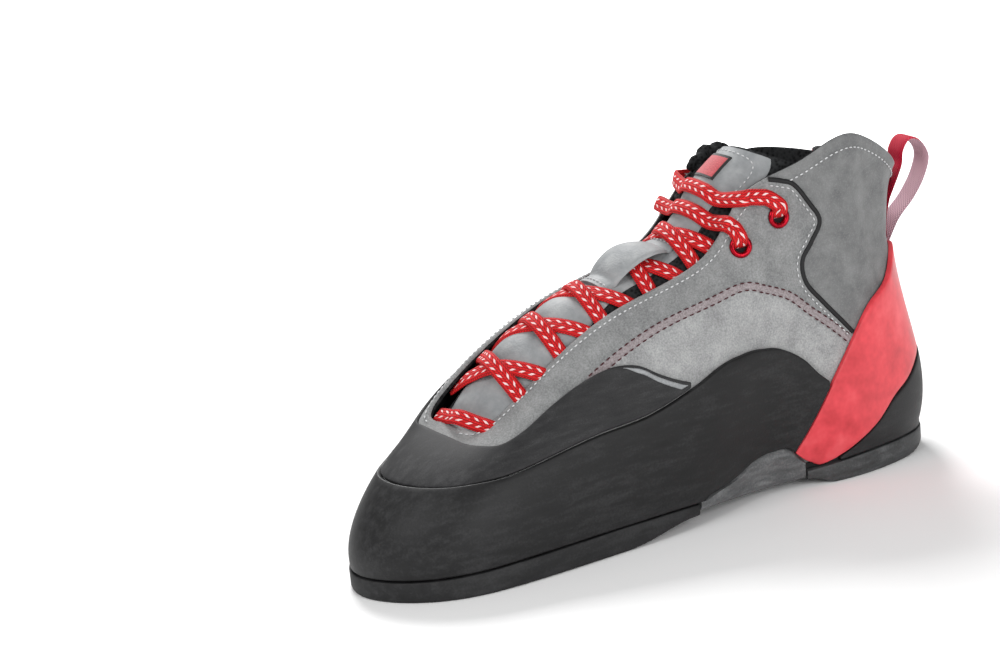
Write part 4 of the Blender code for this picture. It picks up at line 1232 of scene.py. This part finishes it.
class SHOE_OT_sole(bpy.types.Operator):
    """Makes the midsole, outsole, heel, arch cradle and insole"""

    bl_idname = "shoe.sole"
    bl_label = "Sole"

    def execute(self, context):
        sizes = context.scene.shoe_sizes
        last = Last(sizes, creased=False)
        side_out = sizes.gap + sizes.rand_thickness + sizes.sole_lip
        top = -(sizes.midsole_thickness + 2 * sizes.gap)

        def midsole_side(steps, rise):
            return [(0.0, -sizes.gap), (0.0, -sizes.gap - sizes.midsole_thickness)]

        def insole_side(steps, rise):
            inset = -(sizes.wall + INSOLE_INSET)
            return [(inset, INSOLE_TOP), (inset, INSOLE_FOOT)]

        def rounded_side(rise, bottom, round_out, round_up):
            """From the top down to a rounded lower edge and the floor."""
            rows = [(0.0, top), (side_out - 0.0003, top), (side_out, top - 0.0004)]
            for k in range(7):
                angle = math.pi / 2 * k / 6
                out = side_out - round_out * (1 - math.cos(angle))
                rows.append((out, bottom + round_up * (1 - math.sin(angle)) - rise))
            return rows

        def outsole_side(steps, rise):
            end = smooth_step((steps - OUTSOLE_STEPS + OUTSOLE_TAPER) / OUTSOLE_TAPER)
            return rounded_side(rise, end * (rise + top - OUTSOLE_END), *OUTSOLE_ROUND)

        def heel_side(steps, rise):
            back = smooth_step((steps - HEEL_BACK_FROM) / (TOE - HEEL_BACK_FROM))
            front = 1.0 - smooth_step((steps - HEEL_STEPS) / HEEL_RAMP)
            bottom = HEEL_BACK_LIFT * back + front * (rise + top - HEEL_FRONT)
            return rounded_side(rise, bottom, HEEL_ROUND[0] + HEEL_BACK_IN * back, HEEL_ROUND[1])

        midsole = self.slab(last, np.linspace(0.0, TOE, 91), midsole_side)
        finish_piece(midsole, "midsole_board", "rand", ["midsole"], 38.0)
        insole = self.slab(last, np.linspace(INSOLE_ENDS, TOE - INSOLE_ENDS, 81), insole_side)
        finish_piece(insole, "insole_felt", "lining", ["insole"], 38.0)
        outsole = self.slab(last, np.linspace(0.0, OUTSOLE_STEPS, 111), outsole_side)
        finish_piece(outsole, "outsole_rubber", "sole", ["outsole"], 38.0)
        heel = self.slab(last, np.linspace(HEEL_STEPS, TOE, 91), heel_side)
        finish_piece(heel, "heel_sole_rubber", "heel", ["heel_sole"], 38.0)
        arch = self.arch(last, sizes, side_out, top)
        finish_piece(arch, "arch_cradle_rubber", "arch", ["arch_cradle"], 50.0)
        return {"FINISHED"}

    def slab(self, last, steps, side):
        """A slab under the foot, whose side goes out and up from the foot's edge by pairs."""
        sides = []
        for places in (TOE - steps, TOE + steps):
            foot = last.foot(places, 0.0, 0.0)
            outward = last.outward(places)
            rows = side(steps, foot[:, 2])
            points = []
            for out, up in rows:
                points.append(foot + outward * np.reshape(out, (-1, 1)) + UPWARD * np.reshape(up, (-1, 1)))
            sides.append(points)
        outer, inner = sides
        under, over = bridge(outer[-1], inner[-1], 8), bridge(inner[0], outer[0], 8)
        return bend_grid(bmesh.new(), np.array(outer + under + inner[::-1] + over + [outer[0]]))

    def arch(self, last, sizes, side_out, top):
        """The thin rubber under the arch, drawn up the sides as a cradle."""
        steps = np.linspace(ARCH_FRONT, ARCH_BACK, 61)
        floor = under_foot(sizes)
        skins, backs = [], []
        for places in (TOE - steps, TOE + steps):
            line = np.maximum(rubber_line(places, sizes), ARCH_LOWEST)
            skin, back = [], []
            for k in range(9):
                t = line + (floor - line) * k / 8
                rise = math.sqrt(1 - (1 - min(1.0, k / 1.5)) ** 2)
                out = np.full(len(places), sizes.gap + (side_out - sizes.gap) * max(0.25, rise))
                skin.append(last.layer(places, t, out))
                back.append(last.layer(places, t, np.full(len(places), sizes.gap)))
            edge = last.foot(places, 0.0, 0.0)
            outward = last.outward(places)
            for k in range(1, 6):
                angle = math.pi / 2 * k / 5
                out = side_out - ARCH_ROUND * (1 - math.cos(angle))
                skin.append(edge + outward * out + UPWARD * (top - ARCH_THICKNESS * math.sin(angle)))
            skins.append(skin)
            backs.append(back)
        outer, inner = skins
        outer_back, inner_back = backs
        under, over = bridge(outer[-1], inner[-1], 10), bridge(inner_back[-1], outer_back[-1], 10)
        skin = outer + under + inner[::-1]
        return bend_grid(bmesh.new(), np.array(skin + inner_back + over + outer_back[::-1] + [outer[0]]))


# The tongue swells between these rows, where the lace crosses it
PILLOW_TROUGHS = (0.60, 1.26, 1.98, 2.54, 3.02)
PILLOW_RISE = 0.0022

# The keeper and the label on the tongue: their ends in steps from the toe, their sides across it
KEEPER_STEPS = (3.16, 4.02)
KEEPER_SIDES = (-0.50, 0.36)
KEEPER_BRIDGE = (3.28, 0.60)
KEEPER_THICKNESS = 0.0012
LABEL_STEPS = (5.22, 5.74)
LABEL_SIDES = (-0.36, 0.30)
LABEL_FACES = (0.0006, 0.0013)

# Millimetres on the tongue near the label: half its width, and one step along it
HALF_WIDTH_MM = 24.0
STEP_MM = 22.0


def level(height):
    """A face of a sheet that lies at one height all over."""
    return lambda s, a: 0 * s + height


class SHOE_OT_tongue(bpy.types.Operator):
    """Makes the padded tongue, its leather face, lace keeper and plain label"""

    bl_idname = "shoe.tongue"
    bl_label = "Tongue"

    def execute(self, context):
        sizes = context.scene.shoe_sizes
        tongue = Tongue(Last(sizes, creased=False), sizes.tongue_thickness)
        self.pad(tongue, sizes)
        self.face(tongue)
        self.keeper(tongue)
        self.label(tongue)
        return {"FINISHED"}

    def sheet(self, tongue, steps, sides, low, high, fields=None):
        """A layer on the tongue: two sides across it by step, and the heights of its two faces."""
        columns = 40
        share = np.linspace(0, 1, columns + 1)
        left, right = (side + 0 * steps for side in sides)
        across = left[:, None] + (right - left)[:, None] * share[None]
        s = steps[:, None] + 0 * share[None]
        from_side = np.minimum(1, np.minimum(share, 1 - share) * columns / 3)
        roll = np.sqrt(np.clip(1 - (1 - from_side) ** 2, 0, 1))
        upper = tongue.layer(s, across, low(s, across) + (high(s, across) - low(s, across)) * roll[None])
        under = tongue.layer(s, across, low(s, across))[:, ::-1]
        loops = np.concatenate([upper, under[:, 1:]], axis=1)
        values = {}
        for name, function in (fields or {}).items():
            v = function(s, across)
            values[name] = np.concatenate([v, v[:, ::-1][:, 1:]], axis=1)
        return bend_grid(bmesh.new(), loops, None, values)

    def pad(self, tongue, sizes):
        """The knitted pad, folded along its inner side and thinner at its top edge."""
        steps = np.concatenate([np.linspace(0.30, 5.8, 70), np.linspace(5.82, 6.0, 8)])
        top, edge = 5.86, 0.0012

        def high(s, a):
            swell = 0.0004 * (1 - a**2) * smooth_step((s - 4.8) / 0.8)
            fold = 1.0 + 0.35 * np.sin(s * 21.0) * np.sin(s * 8.0 + 1.0)
            swell = swell + 0.0030 * fold * np.exp(-(((a + 0.80) / 0.13) ** 2)) * smooth_step((s - 4.3) / 0.6)
            return swell - edge * smooth_step((s - top) / 0.14)

        def low(s, a):
            return -sizes.tongue_thickness + edge * smooth_step((s - top) / 0.14)

        bm = self.sheet(tongue, steps, (-1.0, 1.0), low, high)
        pad = finish_piece(bm, "tongue_pad", "lining", ["tongue"], 50.0)

    def face(self, tongue):
        """The grey leather sewn on the pad, narrow between the laces and wide at the top."""
        steps = np.linspace(0.34, 5.93, 90)
        waist = smooth_step((steps - 2.6) / 0.8) - smooth_step((steps - 4.7) / 0.6)
        half = 0.80 - 0.30 * waist + 0.12 * smooth_step((steps - 4.9) / 0.5)
        half = half * np.sqrt(np.clip(1 - ((steps - 5.55) / 0.40) ** 2 * (steps > 5.55) * 0.35, 0, 1))

        def high(s, a):
            rows = np.array(PILLOW_TROUGHS)
            k = np.clip(np.searchsorted(rows, s) - 1, 0, len(rows) - 2)
            f = np.clip((s - rows[k]) / (rows[k + 1] - rows[k]), 0, 1)
            swell = np.sin(np.pi * f) ** 1.2 * np.clip(1 - (a / 0.85) ** 2, 0, 1)
            return 0.0006 + PILLOW_RISE * swell * (s < rows[-1])

        bm = self.sheet(tongue, steps, (-half, half), level(0.0001), high)
        face = finish_piece(bm, "tongue_face", "leather", [], 50.0)

    def keeper(self, tongue):
        """The leather bridge that holds the laces, sewn down in front and behind."""

        def low(s, a):
            x = np.clip((s - KEEPER_BRIDGE[0]) / KEEPER_BRIDGE[1], 0, 1)
            return 0.0008 + 0.0058 * np.sin(np.pi * x) ** 0.7

        def high(s, a):
            return low(s, a) + KEEPER_THICKNESS

        bm = self.sheet(tongue, np.linspace(*KEEPER_STEPS, 50), KEEPER_SIDES, low, high)
        finish_piece(bm, "keeper_leather", "leather", ["lace_keeper"], 50.0)

    def label(self, tongue):
        """The plain woven label near the tongue's top."""

        def rim(s, a):
            sides = np.minimum(a - LABEL_SIDES[0], LABEL_SIDES[1] - a) * HALF_WIDTH_MM
            ends = np.minimum(s - LABEL_STEPS[0], LABEL_STEPS[1] - s) * STEP_MM
            return np.minimum(sides, ends)

        low, high = (level(face) for face in LABEL_FACES)
        bm = self.sheet(tongue, np.linspace(*LABEL_STEPS, 30), LABEL_SIDES, low, high, {"rim_mm": rim})
        finish_piece(bm, "label_cloth", "label", ["tongue_label"], 50.0)


Row = namedtuple("Row", "node inner_low inner_high outer_low outer_high stand arch")

# The lace's crossings over the tongue, in steps from the toe, with their heights in metres
LACE_ROWS = (
    Row("lace_cross_2", 1.78, 2.06, 1.90, 2.18, 0.0019, 0.0014),
    Row("lace_cross_3", 2.34, 2.60, 2.48, 2.74, 0.0009, 0.0),
    Row("lace_cross_4", 2.84, 3.08, 2.96, 3.20, 0.0007, 0.0),
    Row("lace_cross_5", 3.40, 3.66, 3.46, 3.72, 0.0007, 0.0),
    Row("lace_cross_6", 3.96, 4.22, 3.98, 4.24, 0.0007, 0.0),
)
CROSSING_REACH = 0.68

# The single bar in front of the crossings
BAR_INNER, BAR_OUTER = 1.18, 1.34
BAR_STAND = 0.0034
BAR_ARCH = 0.0034
BAR_REACH = 0.56

TopStrand = namedtuple("TopStrand", "node eye edge middle")

# The top strands: the eyelet's place, where each leaves the flap, and its step on the tongue
TOP_STRANDS = (
    TopStrand("lace_strand_7", 4.29, 4.44, 4.58),
    TopStrand("lace_strand_8", 3.42, 4.02, 4.98),
)
TOP_STAND = 0.0007

Climb = namedtuple("Climb", "height out")

# How a top strand climbs out of its eyelet's hole, heights as shares of a rib
EYELET_CLIMB = (
    Climb(0.872, -0.0032),
    Climb(0.876, -0.0008),
    Climb(0.885, 0.0014),
)


class SHOE_OT_laces(bpy.types.Operator):
    """Makes the flat lace: its front bar, its crossings and the strands to the eyelets"""

    bl_idname = "shoe.laces"
    bl_label = "Laces"

    def execute(self, context):
        sizes = context.scene.shoe_sizes
        last = Last(sizes, creased=False)
        tongue = Tongue(last, sizes.tongue_thickness)
        half = sizes.lace_thickness / 2
        bm = bmesh.new()
        path = strand_path(tongue, BAR_INNER, BAR_OUTER, BAR_STAND + half, BAR_ARCH, BAR_REACH)
        tube(bm, *path, sizes.lace_width, sizes.lace_thickness)
        finish_piece(bm, "lace_bar", "lace", ["lace_bar_1"], 60.0)
        for row in LACE_ROWS:
            bm = bmesh.new()
            over = row.arch + sizes.lace_thickness * 1.02
            for inner, outer, arch in (
                (row.inner_low, row.outer_high, row.arch),
                (row.inner_high, row.outer_low, over),
            ):
                path = strand_path(tongue, inner, outer, row.stand + half, arch, CROSSING_REACH)
                tube(bm, *path, sizes.lace_width, sizes.lace_thickness)
            finish_piece(bm, row.node.replace("cross", "crossing"), "lace", [row.node], 60.0)
        for strand in TOP_STRANDS:
            self.top_strand(last, tongue, sizes, strand)
        return {"FINISHED"}

    def top_strand(self, last, tongue, sizes, strand):
        """A strand from its eyelets' holes over the flaps and the tongue's middle."""
        high = TOP_STAND + sizes.lace_thickness / 2
        points, normals = [], []
        for side in (1, -1):
            rows = []
            for t, out in EYELET_CLIMB + (Climb(0.905, high + 0.0012),):
                p = side * strand.eye
                rows.append((last.layer(p, t, out), last.normal(p, t)))
            for f in (0.25, 0.5, 0.8, 1.0):
                p = side * (strand.eye + (strand.edge - strand.eye) * f)
                t = 0.925 + 0.075 * f
                rows.append((last.layer(p, t, high + 0.0018 * f**3), last.normal(p, t)))
            for a in (0.62, 0.32):
                at = (strand.middle, a * side)
                rows.append((tongue.layer(*at, high + 0.0003), tongue.normal(*at)))
            if side > 0:
                rows.append((tongue.layer(strand.middle, 0.0, high), tongue.normal(strand.middle, 0.0)))
            rows = rows if side > 0 else rows[::-1]
            points += [r[0] for r in rows]
            normals += [r[1] for r in rows]
        points = smooth_path(np.array(points), 120)
        normals = smooth_path(np.array(normals), 120)
        bm = tube(bmesh.new(), points, normals, sizes.lace_width, sizes.lace_thickness)
        finish_piece(bm, strand.node.replace("strand", "run"), "lace", [strand.node], 60.0)


RingPoint = namedtuple("RingPoint", "radius_mm out_mm")

# An eyelet's section: its barrel, its rolled flange and back along the underside
EYELET_SECTION = (
    RingPoint(2.4, -1.6),
    RingPoint(2.4, 0.5),
    RingPoint(2.6, 1.0),
    RingPoint(3.1, 1.45),
    RingPoint(3.6, 1.5),
    RingPoint(4.1, 1.25),
    RingPoint(4.5, 0.8),
    RingPoint(4.6, 0.4),
    RingPoint(3.4, 0.35),
    RingPoint(2.9, -0.4),
    RingPoint(2.9, -1.6),
    RingPoint(2.4, -1.6),
)
EYELET_STAND = 0.0002


class SHOE_OT_eyelets(bpy.types.Operator):
    """Makes the four anodised eyelets on the flaps"""

    bl_idname = "shoe.eyelets"
    bl_label = "Eyelets"

    def execute(self, context):
        last = Last(context.scene.shoe_sizes, creased=False)
        angle = np.linspace(0, 2 * math.pi, 41)
        for node, place in EYELETS.items():
            centre = last.point(place, EYELET_HEIGHT)
            normal = last.normal(place, EYELET_HEIGHT)
            side = last.point(place + 0.01, EYELET_HEIGHT) - last.point(place - 0.01, EYELET_HEIGHT)
            side = side - normal * (side @ normal)
            side = side / np.linalg.norm(side)
            up = np.cross(normal, side)
            loops = []
            for radius, out in EYELET_SECTION:
                flat = (np.cos(angle)[:, None] * side + np.sin(angle)[:, None] * up) * radius * MM
                loops.append(centre + flat + normal * (out * MM + EYELET_STAND))
            bm = bend_grid(bmesh.new(), np.array(loops), close=False)
            finish_piece(bm, node.replace("eyelet", "ring"), "eyelet", [node], 45.0)
        return {"FINISHED"}


LoopRow = namedtuple("LoopRow", "out rise")

# The free part of a pull loop: out from the heel in metres, rise as a share of the collar's height
LOOP_ROWS = (
    LoopRow(0.0050, 0.700),
    LoopRow(0.0130, 0.755),
    LoopRow(0.0190, 0.815),
    LoopRow(0.0215, 0.875),
    LoopRow(0.0175, 0.922),
    LoopRow(0.0125, 0.932),
    LoopRow(0.0090, 0.902),
    LoopRow(0.0076, 0.855),
)

# Where a loop lies on the heel before it stands free, from its top down
LOOP_SEAT = (0.90, 0.85, 0.80, 0.76, 0.72)
WEBBING_WIDTH = 0.0120
WEBBING_THICKNESS = 0.0014

PullLoop = namedtuple("PullLoop", "node place half away size drop materials")

# The loops on the heel; without a direction of its own a loop stands square to the heel
PULL_LOOPS = (
    PullLoop("pull_loop_outer", 0.42, 0.27, (0.06, 1.0, 0.0), 1.0, 0.0, ("red_webbing", "pale_webbing")),
    PullLoop("pull_loop_inner", -1.15, 0.22, None, 0.8, 0.006, ("black_webbing", "pale_webbing")),
)


class SHOE_OT_pull_loops(bpy.types.Operator):
    """Makes the two webbing loops on the heel"""

    bl_idname = "shoe.pull_loops"
    bl_label = "Pull loops"

    def execute(self, context):
        sizes = context.scene.shoe_sizes
        last = Last(sizes, creased=False)
        for loop in PULL_LOOPS:
            self.strap(last, sizes, loop)
        return {"FINISHED"}

    def strap(self, last, sizes, loop):
        """A strap that lies on the heel and stands out as a closed loop, its pale side inwards."""
        away = last.outward(loop.place) if loop.away is None else np.array(loop.away)
        away = away / np.linalg.norm(away)
        root = last.point(loop.place, LOOP_SEAT[0])
        ends = [last.point(loop.place + d, LOOP_SEAT[0]) for d in (loop.half, -loop.half)]
        side = ends[0] - ends[1]
        side[2] = 0.0
        side = side / np.linalg.norm(side)
        rows = [last.layer(loop.place, t, sizes.gap + WEBBING_THICKNESS / 2) for t in LOOP_SEAT]
        for row in LOOP_ROWS:
            p = root + away * (row.out * loop.size)
            p[2] = row.rise * sizes.collar_height - loop.drop + last.shift[2]
            rows.append(p)
        rows.append(rows[0])
        path = smooth_path(np.array(rows), 110)
        ahead = np.roll(path[:-1], -1, 0)
        behind = np.roll(path[:-1], 1, 0)
        run = np.concatenate([ahead - behind, (ahead - behind)[:1]])
        run = run / np.linalg.norm(run, axis=1, keepdims=True)
        face = np.cross(side, run)
        face = face / np.linalg.norm(face, axis=1, keepdims=True)
        along = np.concatenate([[0.0], np.cumsum(np.linalg.norm(np.diff(path, axis=0), axis=1))])
        lines, pairs = [], []
        for sign in (1, -1):
            for c in np.linspace(-0.5, 0.5, 9) * sign:
                edge = math.sqrt(max(0.0, 1 - (abs(c) * 2) ** 8))
                out = face * (sign * edge * WEBBING_THICKNESS / 2)
                lines.append(path + side * (c * WEBBING_WIDTH) + out)
                pairs.append(np.stack([along, np.full(len(path), c * WEBBING_WIDTH)], -1))
        lines.append(lines[0])
        pairs.append(pairs[0])
        bm = bend_grid(bmesh.new(), np.array(lines), np.array(pairs), close=False)
        bmesh.ops.recalc_face_normals(bm, faces=bm.faces)
        centre = Vector(path.mean(0))
        for one in bm.faces:
            inwards = one.normal.dot(centre - one.calc_center_median()) > 0
            one.material_index = 1 if inwards else 0
        name = loop.node.replace("pull_loop", "heel_loop")
        finish_piece(bm, name, loop.materials, [loop.node], 60.0)


Stitch = namedtuple("Stitch", "length_mm pitch_mm thick_mm")

ARC_STITCH = Stitch(2.4, 3.2, 0.65)
EDGE_STITCH = Stitch(1.7, 2.4, 0.6)
FLAP_STITCH = Stitch(1.6, 2.4, 0.55)
KEEPER_STITCH = Stitch(1.5, 2.1, 0.5)
BORDER_STITCH = Stitch(1.6, 2.4, 0.5)
TIP_STITCH = Stitch(1.5, 2.2, 0.5)


class SHOE_OT_stitches(bpy.types.Operator):
    """Makes the seams' stitches on the upper and the tongue, the piping and the folded padding"""

    bl_idname = "shoe.stitches"
    bl_label = "Stitches"

    def execute(self, context):
        sizes = context.scene.shoe_sizes
        last = Last(sizes)
        tongue = Tongue(last, sizes.tongue_thickness)
        self.arcs(last)
        self.edges(last)
        self.ankle(last)
        self.padding(last)
        self.on_tongue(tongue)
        return {"FINISHED"}

    def sew(self, bm, name, material):
        """Finishes a group of stitches, or the piping, as one piece."""
        finish_piece(bm, name, material, [], 80.0)

    def arcs(self, last):
        """Two dark red rows along the arc between the side and the lace panel."""
        bm = bmesh.new()
        for side in (1, -1):
            points, normals = seam_line(last, ARC_SEAM, side, 0.0001)
            across = np.cross(normals, directions(points))
            for off in (-1.5, 1.5):
                row = points + across * (off * MM)
                row = row + normals * (0.0004 if off * side < 0 else 0.0002)
                stitch_row(bm, row, normals, ARC_STITCH)
        self.sew(bm, "arc_stitches", "red_thread")

    def edges(self, last):
        """A white row just inside the throat's edge and the collar."""
        bm = bmesh.new()
        inset = 0.042
        throat = [
            Edge(p, 1.0 - inset - 0.010 * smooth_step((p - 7.2) / 0.8)) for p in np.linspace(3.95, 8.55, 40)
        ]
        collar = [Edge(p, 0.965) for p in np.linspace(-3.2, 3.2, 60)]
        for side in (1, -1):
            stitch_row(bm, *seam_line(last, throat, side, 0.0004), EDGE_STITCH)
        stitch_row(bm, *seam_line(last, collar, 1, 0.0), EDGE_STITCH)
        self.sew(bm, "edge_stitches", "white_thread")

    def ankle(self, last):
        """The flap's stitched edge in front of the ankle seam, and the dark piping in it."""
        bm = bmesh.new()
        piping = bmesh.new()
        for side in (1, -1):
            points, normals = seam_line(last, ANKLE_SEAM, side, 0.0)
            across = np.cross(normals, directions(points)) * side
            stitch_row(bm, points - across * 0.0024 + normals * 0.0006, normals, FLAP_STITCH)
            tube(piping, points - normals * 0.0002, normals, 0.0021, 0.0016, sides=8)
        self.sew(bm, "flap_stitches", "white_thread")
        self.sew(piping, "ankle_piping", "black_thread")

    def padding(self, last):
        """The black knitted padding that stands above the inner flap's edge in soft folds."""
        p = np.linspace(-3.90, -3.18, 60)
        share = np.linspace(0, 1, 60)
        fold = np.sin(share * 17.0) * 0.0006 + np.sin(share * 41.0 + 1.0) * 0.0003
        rise = 0.0022 + 0.0016 * np.sin(np.pi * share) + fold
        points = last.layer(p, 1.0, -0.0030 + fold)
        points[:, 2] += rise
        taper = np.maximum(0.05, np.sin(np.pi * share) ** 0.45)
        bm = tube(bmesh.new(), points, last.normal(p, 1.0), 0.0086, 0.0050, sides=16, taper=taper)
        padding = finish_piece(bm, "flap_padding", "lining", [], 60.0)

    def on_tongue(self, tongue):
        """Rows across the keeper's two ends, round the face's wide top and at its front tip."""
        bm = bmesh.new()
        across = np.linspace(-0.48, 0.34, 60)
        for s in (3.20, 3.96):
            self.tongue_row(bm, tongue, s + 0 * across, across, 0.0021, KEEPER_STITCH)
        border = [(5.02, 0.70), (5.30, 0.76), (5.60, 0.74), (5.78, 0.60), (5.84, 0.30), (5.85, 0.0)]
        border += [(s, -a) for s, a in border[-2::-1]]
        path = smooth_path(border, 120)
        self.tongue_row(bm, tongue, path[:, 0], path[:, 1], 0.0006, BORDER_STITCH)
        tip = [(1.06, -0.34), (0.66, -0.10), (0.48, 0.0), (0.66, 0.10), (1.06, 0.34)]
        path = smooth_path(tip, 60)
        self.tongue_row(bm, tongue, path[:, 0], path[:, 1], 0.0007, TIP_STITCH)
        self.sew(bm, "tongue_stitches", "white_thread")

    def tongue_row(self, bm, tongue, steps, across, out, stitch):
        """One row of stitches on the tongue."""
        points = tongue.layer(steps, across, out + 0 * across)
        stitch_row(bm, points, tongue.normal(steps, across), stitch)


Light = namedtuple("Light", "name azimuth elevation distance size watts")

LIGHTS = (
    Light("Key", 15.0, 40.0, 1.3, 0.6, 6.0),
    Light("Side", 92.0, 24.0, 1.5, 0.8, 9.5),
    Light("Rim", 252.0, 47.0, 1.3, 0.5, 17.0),
)
WORLD_STRENGTH = 0.34

# The floor glows past the shoe's shadow, so that it stays white as far as the camera sees
FLOOR_HALF = 12.0
GLOW_FROM, GLOW_TO = 0.25, 0.9
GLOW_STRENGTH = 0.8

# The camera's angle to the shoe and the principal point of the photo, in its 1000 pixel frame
CAMERA_AZIMUTH = 59.0
CAMERA_ELEVATION = 16.0
CAMERA_ROLL = 5.0
CAMERA_DISTANCE = 0.954
CAMERA_TARGET_RISE = 0.060
CAMERA_LENS_MM = 86.4
SENSOR_MM = 36.0
PHOTO_WIDTH, PHOTO_HEIGHT = 1000.0, 666.0
PRINCIPAL_X, PRINCIPAL_Y = 641.0, 358.0


def toward(azimuth, elevation):
    """The direction from the shoe to a camera or lamp, azimuth from the toe to the outer side."""
    return Vector(
        (
            math.sin(azimuth) * math.cos(elevation),
            -math.cos(azimuth) * math.cos(elevation),
            math.sin(elevation),
        )
    )


class SHOE_OT_stage(bpy.types.Operator):
    """Makes the camera, the pale floor and the studio lights"""

    bl_idname = "shoe.stage"
    bl_label = "Stage"

    def execute(self, context):
        scene = context.scene
        scene.view_settings.view_transform = "Standard"
        self.camera(scene)
        self.floor(scene)
        self.world(scene)
        for light in LIGHTS:
            self.lamp(scene, light)
        return {"FINISHED"}

    def camera(self, scene):
        """The photo's camera: its angle, its slight roll and its shifted middle."""
        a, e, r = (math.radians(x) for x in (CAMERA_AZIMUTH, CAMERA_ELEVATION, CAMERA_ROLL))
        right = Vector((math.cos(a), math.sin(a), 0.0))
        up = Vector((-math.sin(a) * math.sin(e), math.cos(a) * math.sin(e), math.cos(e)))
        back = toward(a, e)
        x = right * math.cos(r) - up * math.sin(r)
        y = right * math.sin(r) + up * math.cos(r)
        turn = Matrix((x, y, back)).transposed().to_4x4()
        turn.translation = Vector((0.0, 0.0, CAMERA_TARGET_RISE)) + back * CAMERA_DISTANCE
        data = bpy.data.cameras.new("Camera")
        data.lens = CAMERA_LENS_MM
        data.sensor_width = SENSOR_MM
        data.shift_x = (PHOTO_WIDTH / 2 - PRINCIPAL_X) / PHOTO_WIDTH
        data.shift_y = (PRINCIPAL_Y - PHOTO_HEIGHT / 2) / PHOTO_WIDTH
        camera = bpy.data.objects.new("Camera", data)
        camera.matrix_world = turn
        scene.collection.objects.link(camera)
        scene.camera = camera

    def floor(self, scene):
        """A wide white floor."""
        bm = bmesh.new()
        bmesh.ops.create_grid(bm, x_segments=1, y_segments=1, size=FLOOR_HALF)
        mesh = bpy.data.meshes.new("floor")
        bm.to_mesh(mesh)
        bm.free()
        floor = bpy.data.objects.new("floor", mesh)
        scene.collection.objects.link(floor)
        white = linear("#ffffff")
        values = {"Roughness": 0.9, "Base Color": white, "Emission Color": white}
        paint, tree, shader = start("Pale matt floor", values)
        place = object_coords(tree)
        away = add(tree, "ShaderNodeVectorMath", {0: place}, operation="LENGTH").outputs["Value"]
        glow = span(tree, away, GLOW_FROM, GLOW_TO, 0.0, GLOW_STRENGTH)
        tree.links.new(glow, shader.inputs["Emission Strength"])
        mesh.materials.append(paint)

    def world(self, scene):
        """Even white light from all round."""
        world = bpy.data.worlds.new("World")
        world.use_nodes = True
        background = world.node_tree.nodes["Background"]
        background.inputs["Color"].default_value = (1.0, 1.0, 1.0, 1.0)
        background.inputs["Strength"].default_value = WORLD_STRENGTH
        scene.world = world

    def lamp(self, scene, light):
        """One square lamp that faces the shoe."""
        direction = toward(math.radians(light.azimuth), math.radians(light.elevation))
        data = bpy.data.lights.new(light.name, "AREA")
        data.energy = light.watts
        data.size = light.size
        lamp = bpy.data.objects.new(light.name, data)
        lamp.location = direction * light.distance
        lamp.rotation_mode = "QUATERNION"
        lamp.rotation_quaternion = direction.to_track_quat("Z", "Y")
        scene.collection.objects.link(lamp)


STEPS = (
    SHOE_OT_materials,
    SHOE_OT_upper,
    SHOE_OT_rubber,
    SHOE_OT_sole,
    SHOE_OT_tongue,
    SHOE_OT_laces,
    SHOE_OT_eyelets,
    SHOE_OT_pull_loops,
    SHOE_OT_stitches,
    SHOE_OT_stage,
)


class SHOE_PT_panel(bpy.types.Panel):
    """The shoe's sizes, colours and steps"""

    bl_idname = "SHOE_PT_panel"
    bl_label = "Climbing shoe"
    bl_space_type = "VIEW_3D"
    bl_region_type = "UI"
    bl_category = "Shoe"

    def draw(self, context):
        for group in (context.scene.shoe_sizes, context.scene.shoe_colours):
            for name in group.__annotations__:
                self.layout.prop(group, name)
        for step in STEPS:
            self.layout.operator(step.bl_idname)


CLASSES = (ShoeSizes, ShoeColours) + STEPS + (SHOE_PT_panel,)


def register():
    for one in CLASSES:
        bpy.utils.register_class(one)
    bpy.types.Scene.shoe_sizes = bpy.props.PointerProperty(type=ShoeSizes)
    bpy.types.Scene.shoe_colours = bpy.props.PointerProperty(type=ShoeColours)


def unregister():
    del bpy.types.Scene.shoe_colours
    del bpy.types.Scene.shoe_sizes
    for one in reversed(CLASSES):
        bpy.utils.unregister_class(one)


def main():
    register()
    bpy.ops.shoe.materials()
    bpy.ops.shoe.upper()
    bpy.ops.shoe.rubber()
    bpy.ops.shoe.sole()
    bpy.ops.shoe.tongue()
    bpy.ops.shoe.laces()
    bpy.ops.shoe.eyelets()
    bpy.ops.shoe.pull_loops()
    bpy.ops.shoe.stitches()
    bpy.ops.shoe.stage()


if __name__ == "__main__":
    main()
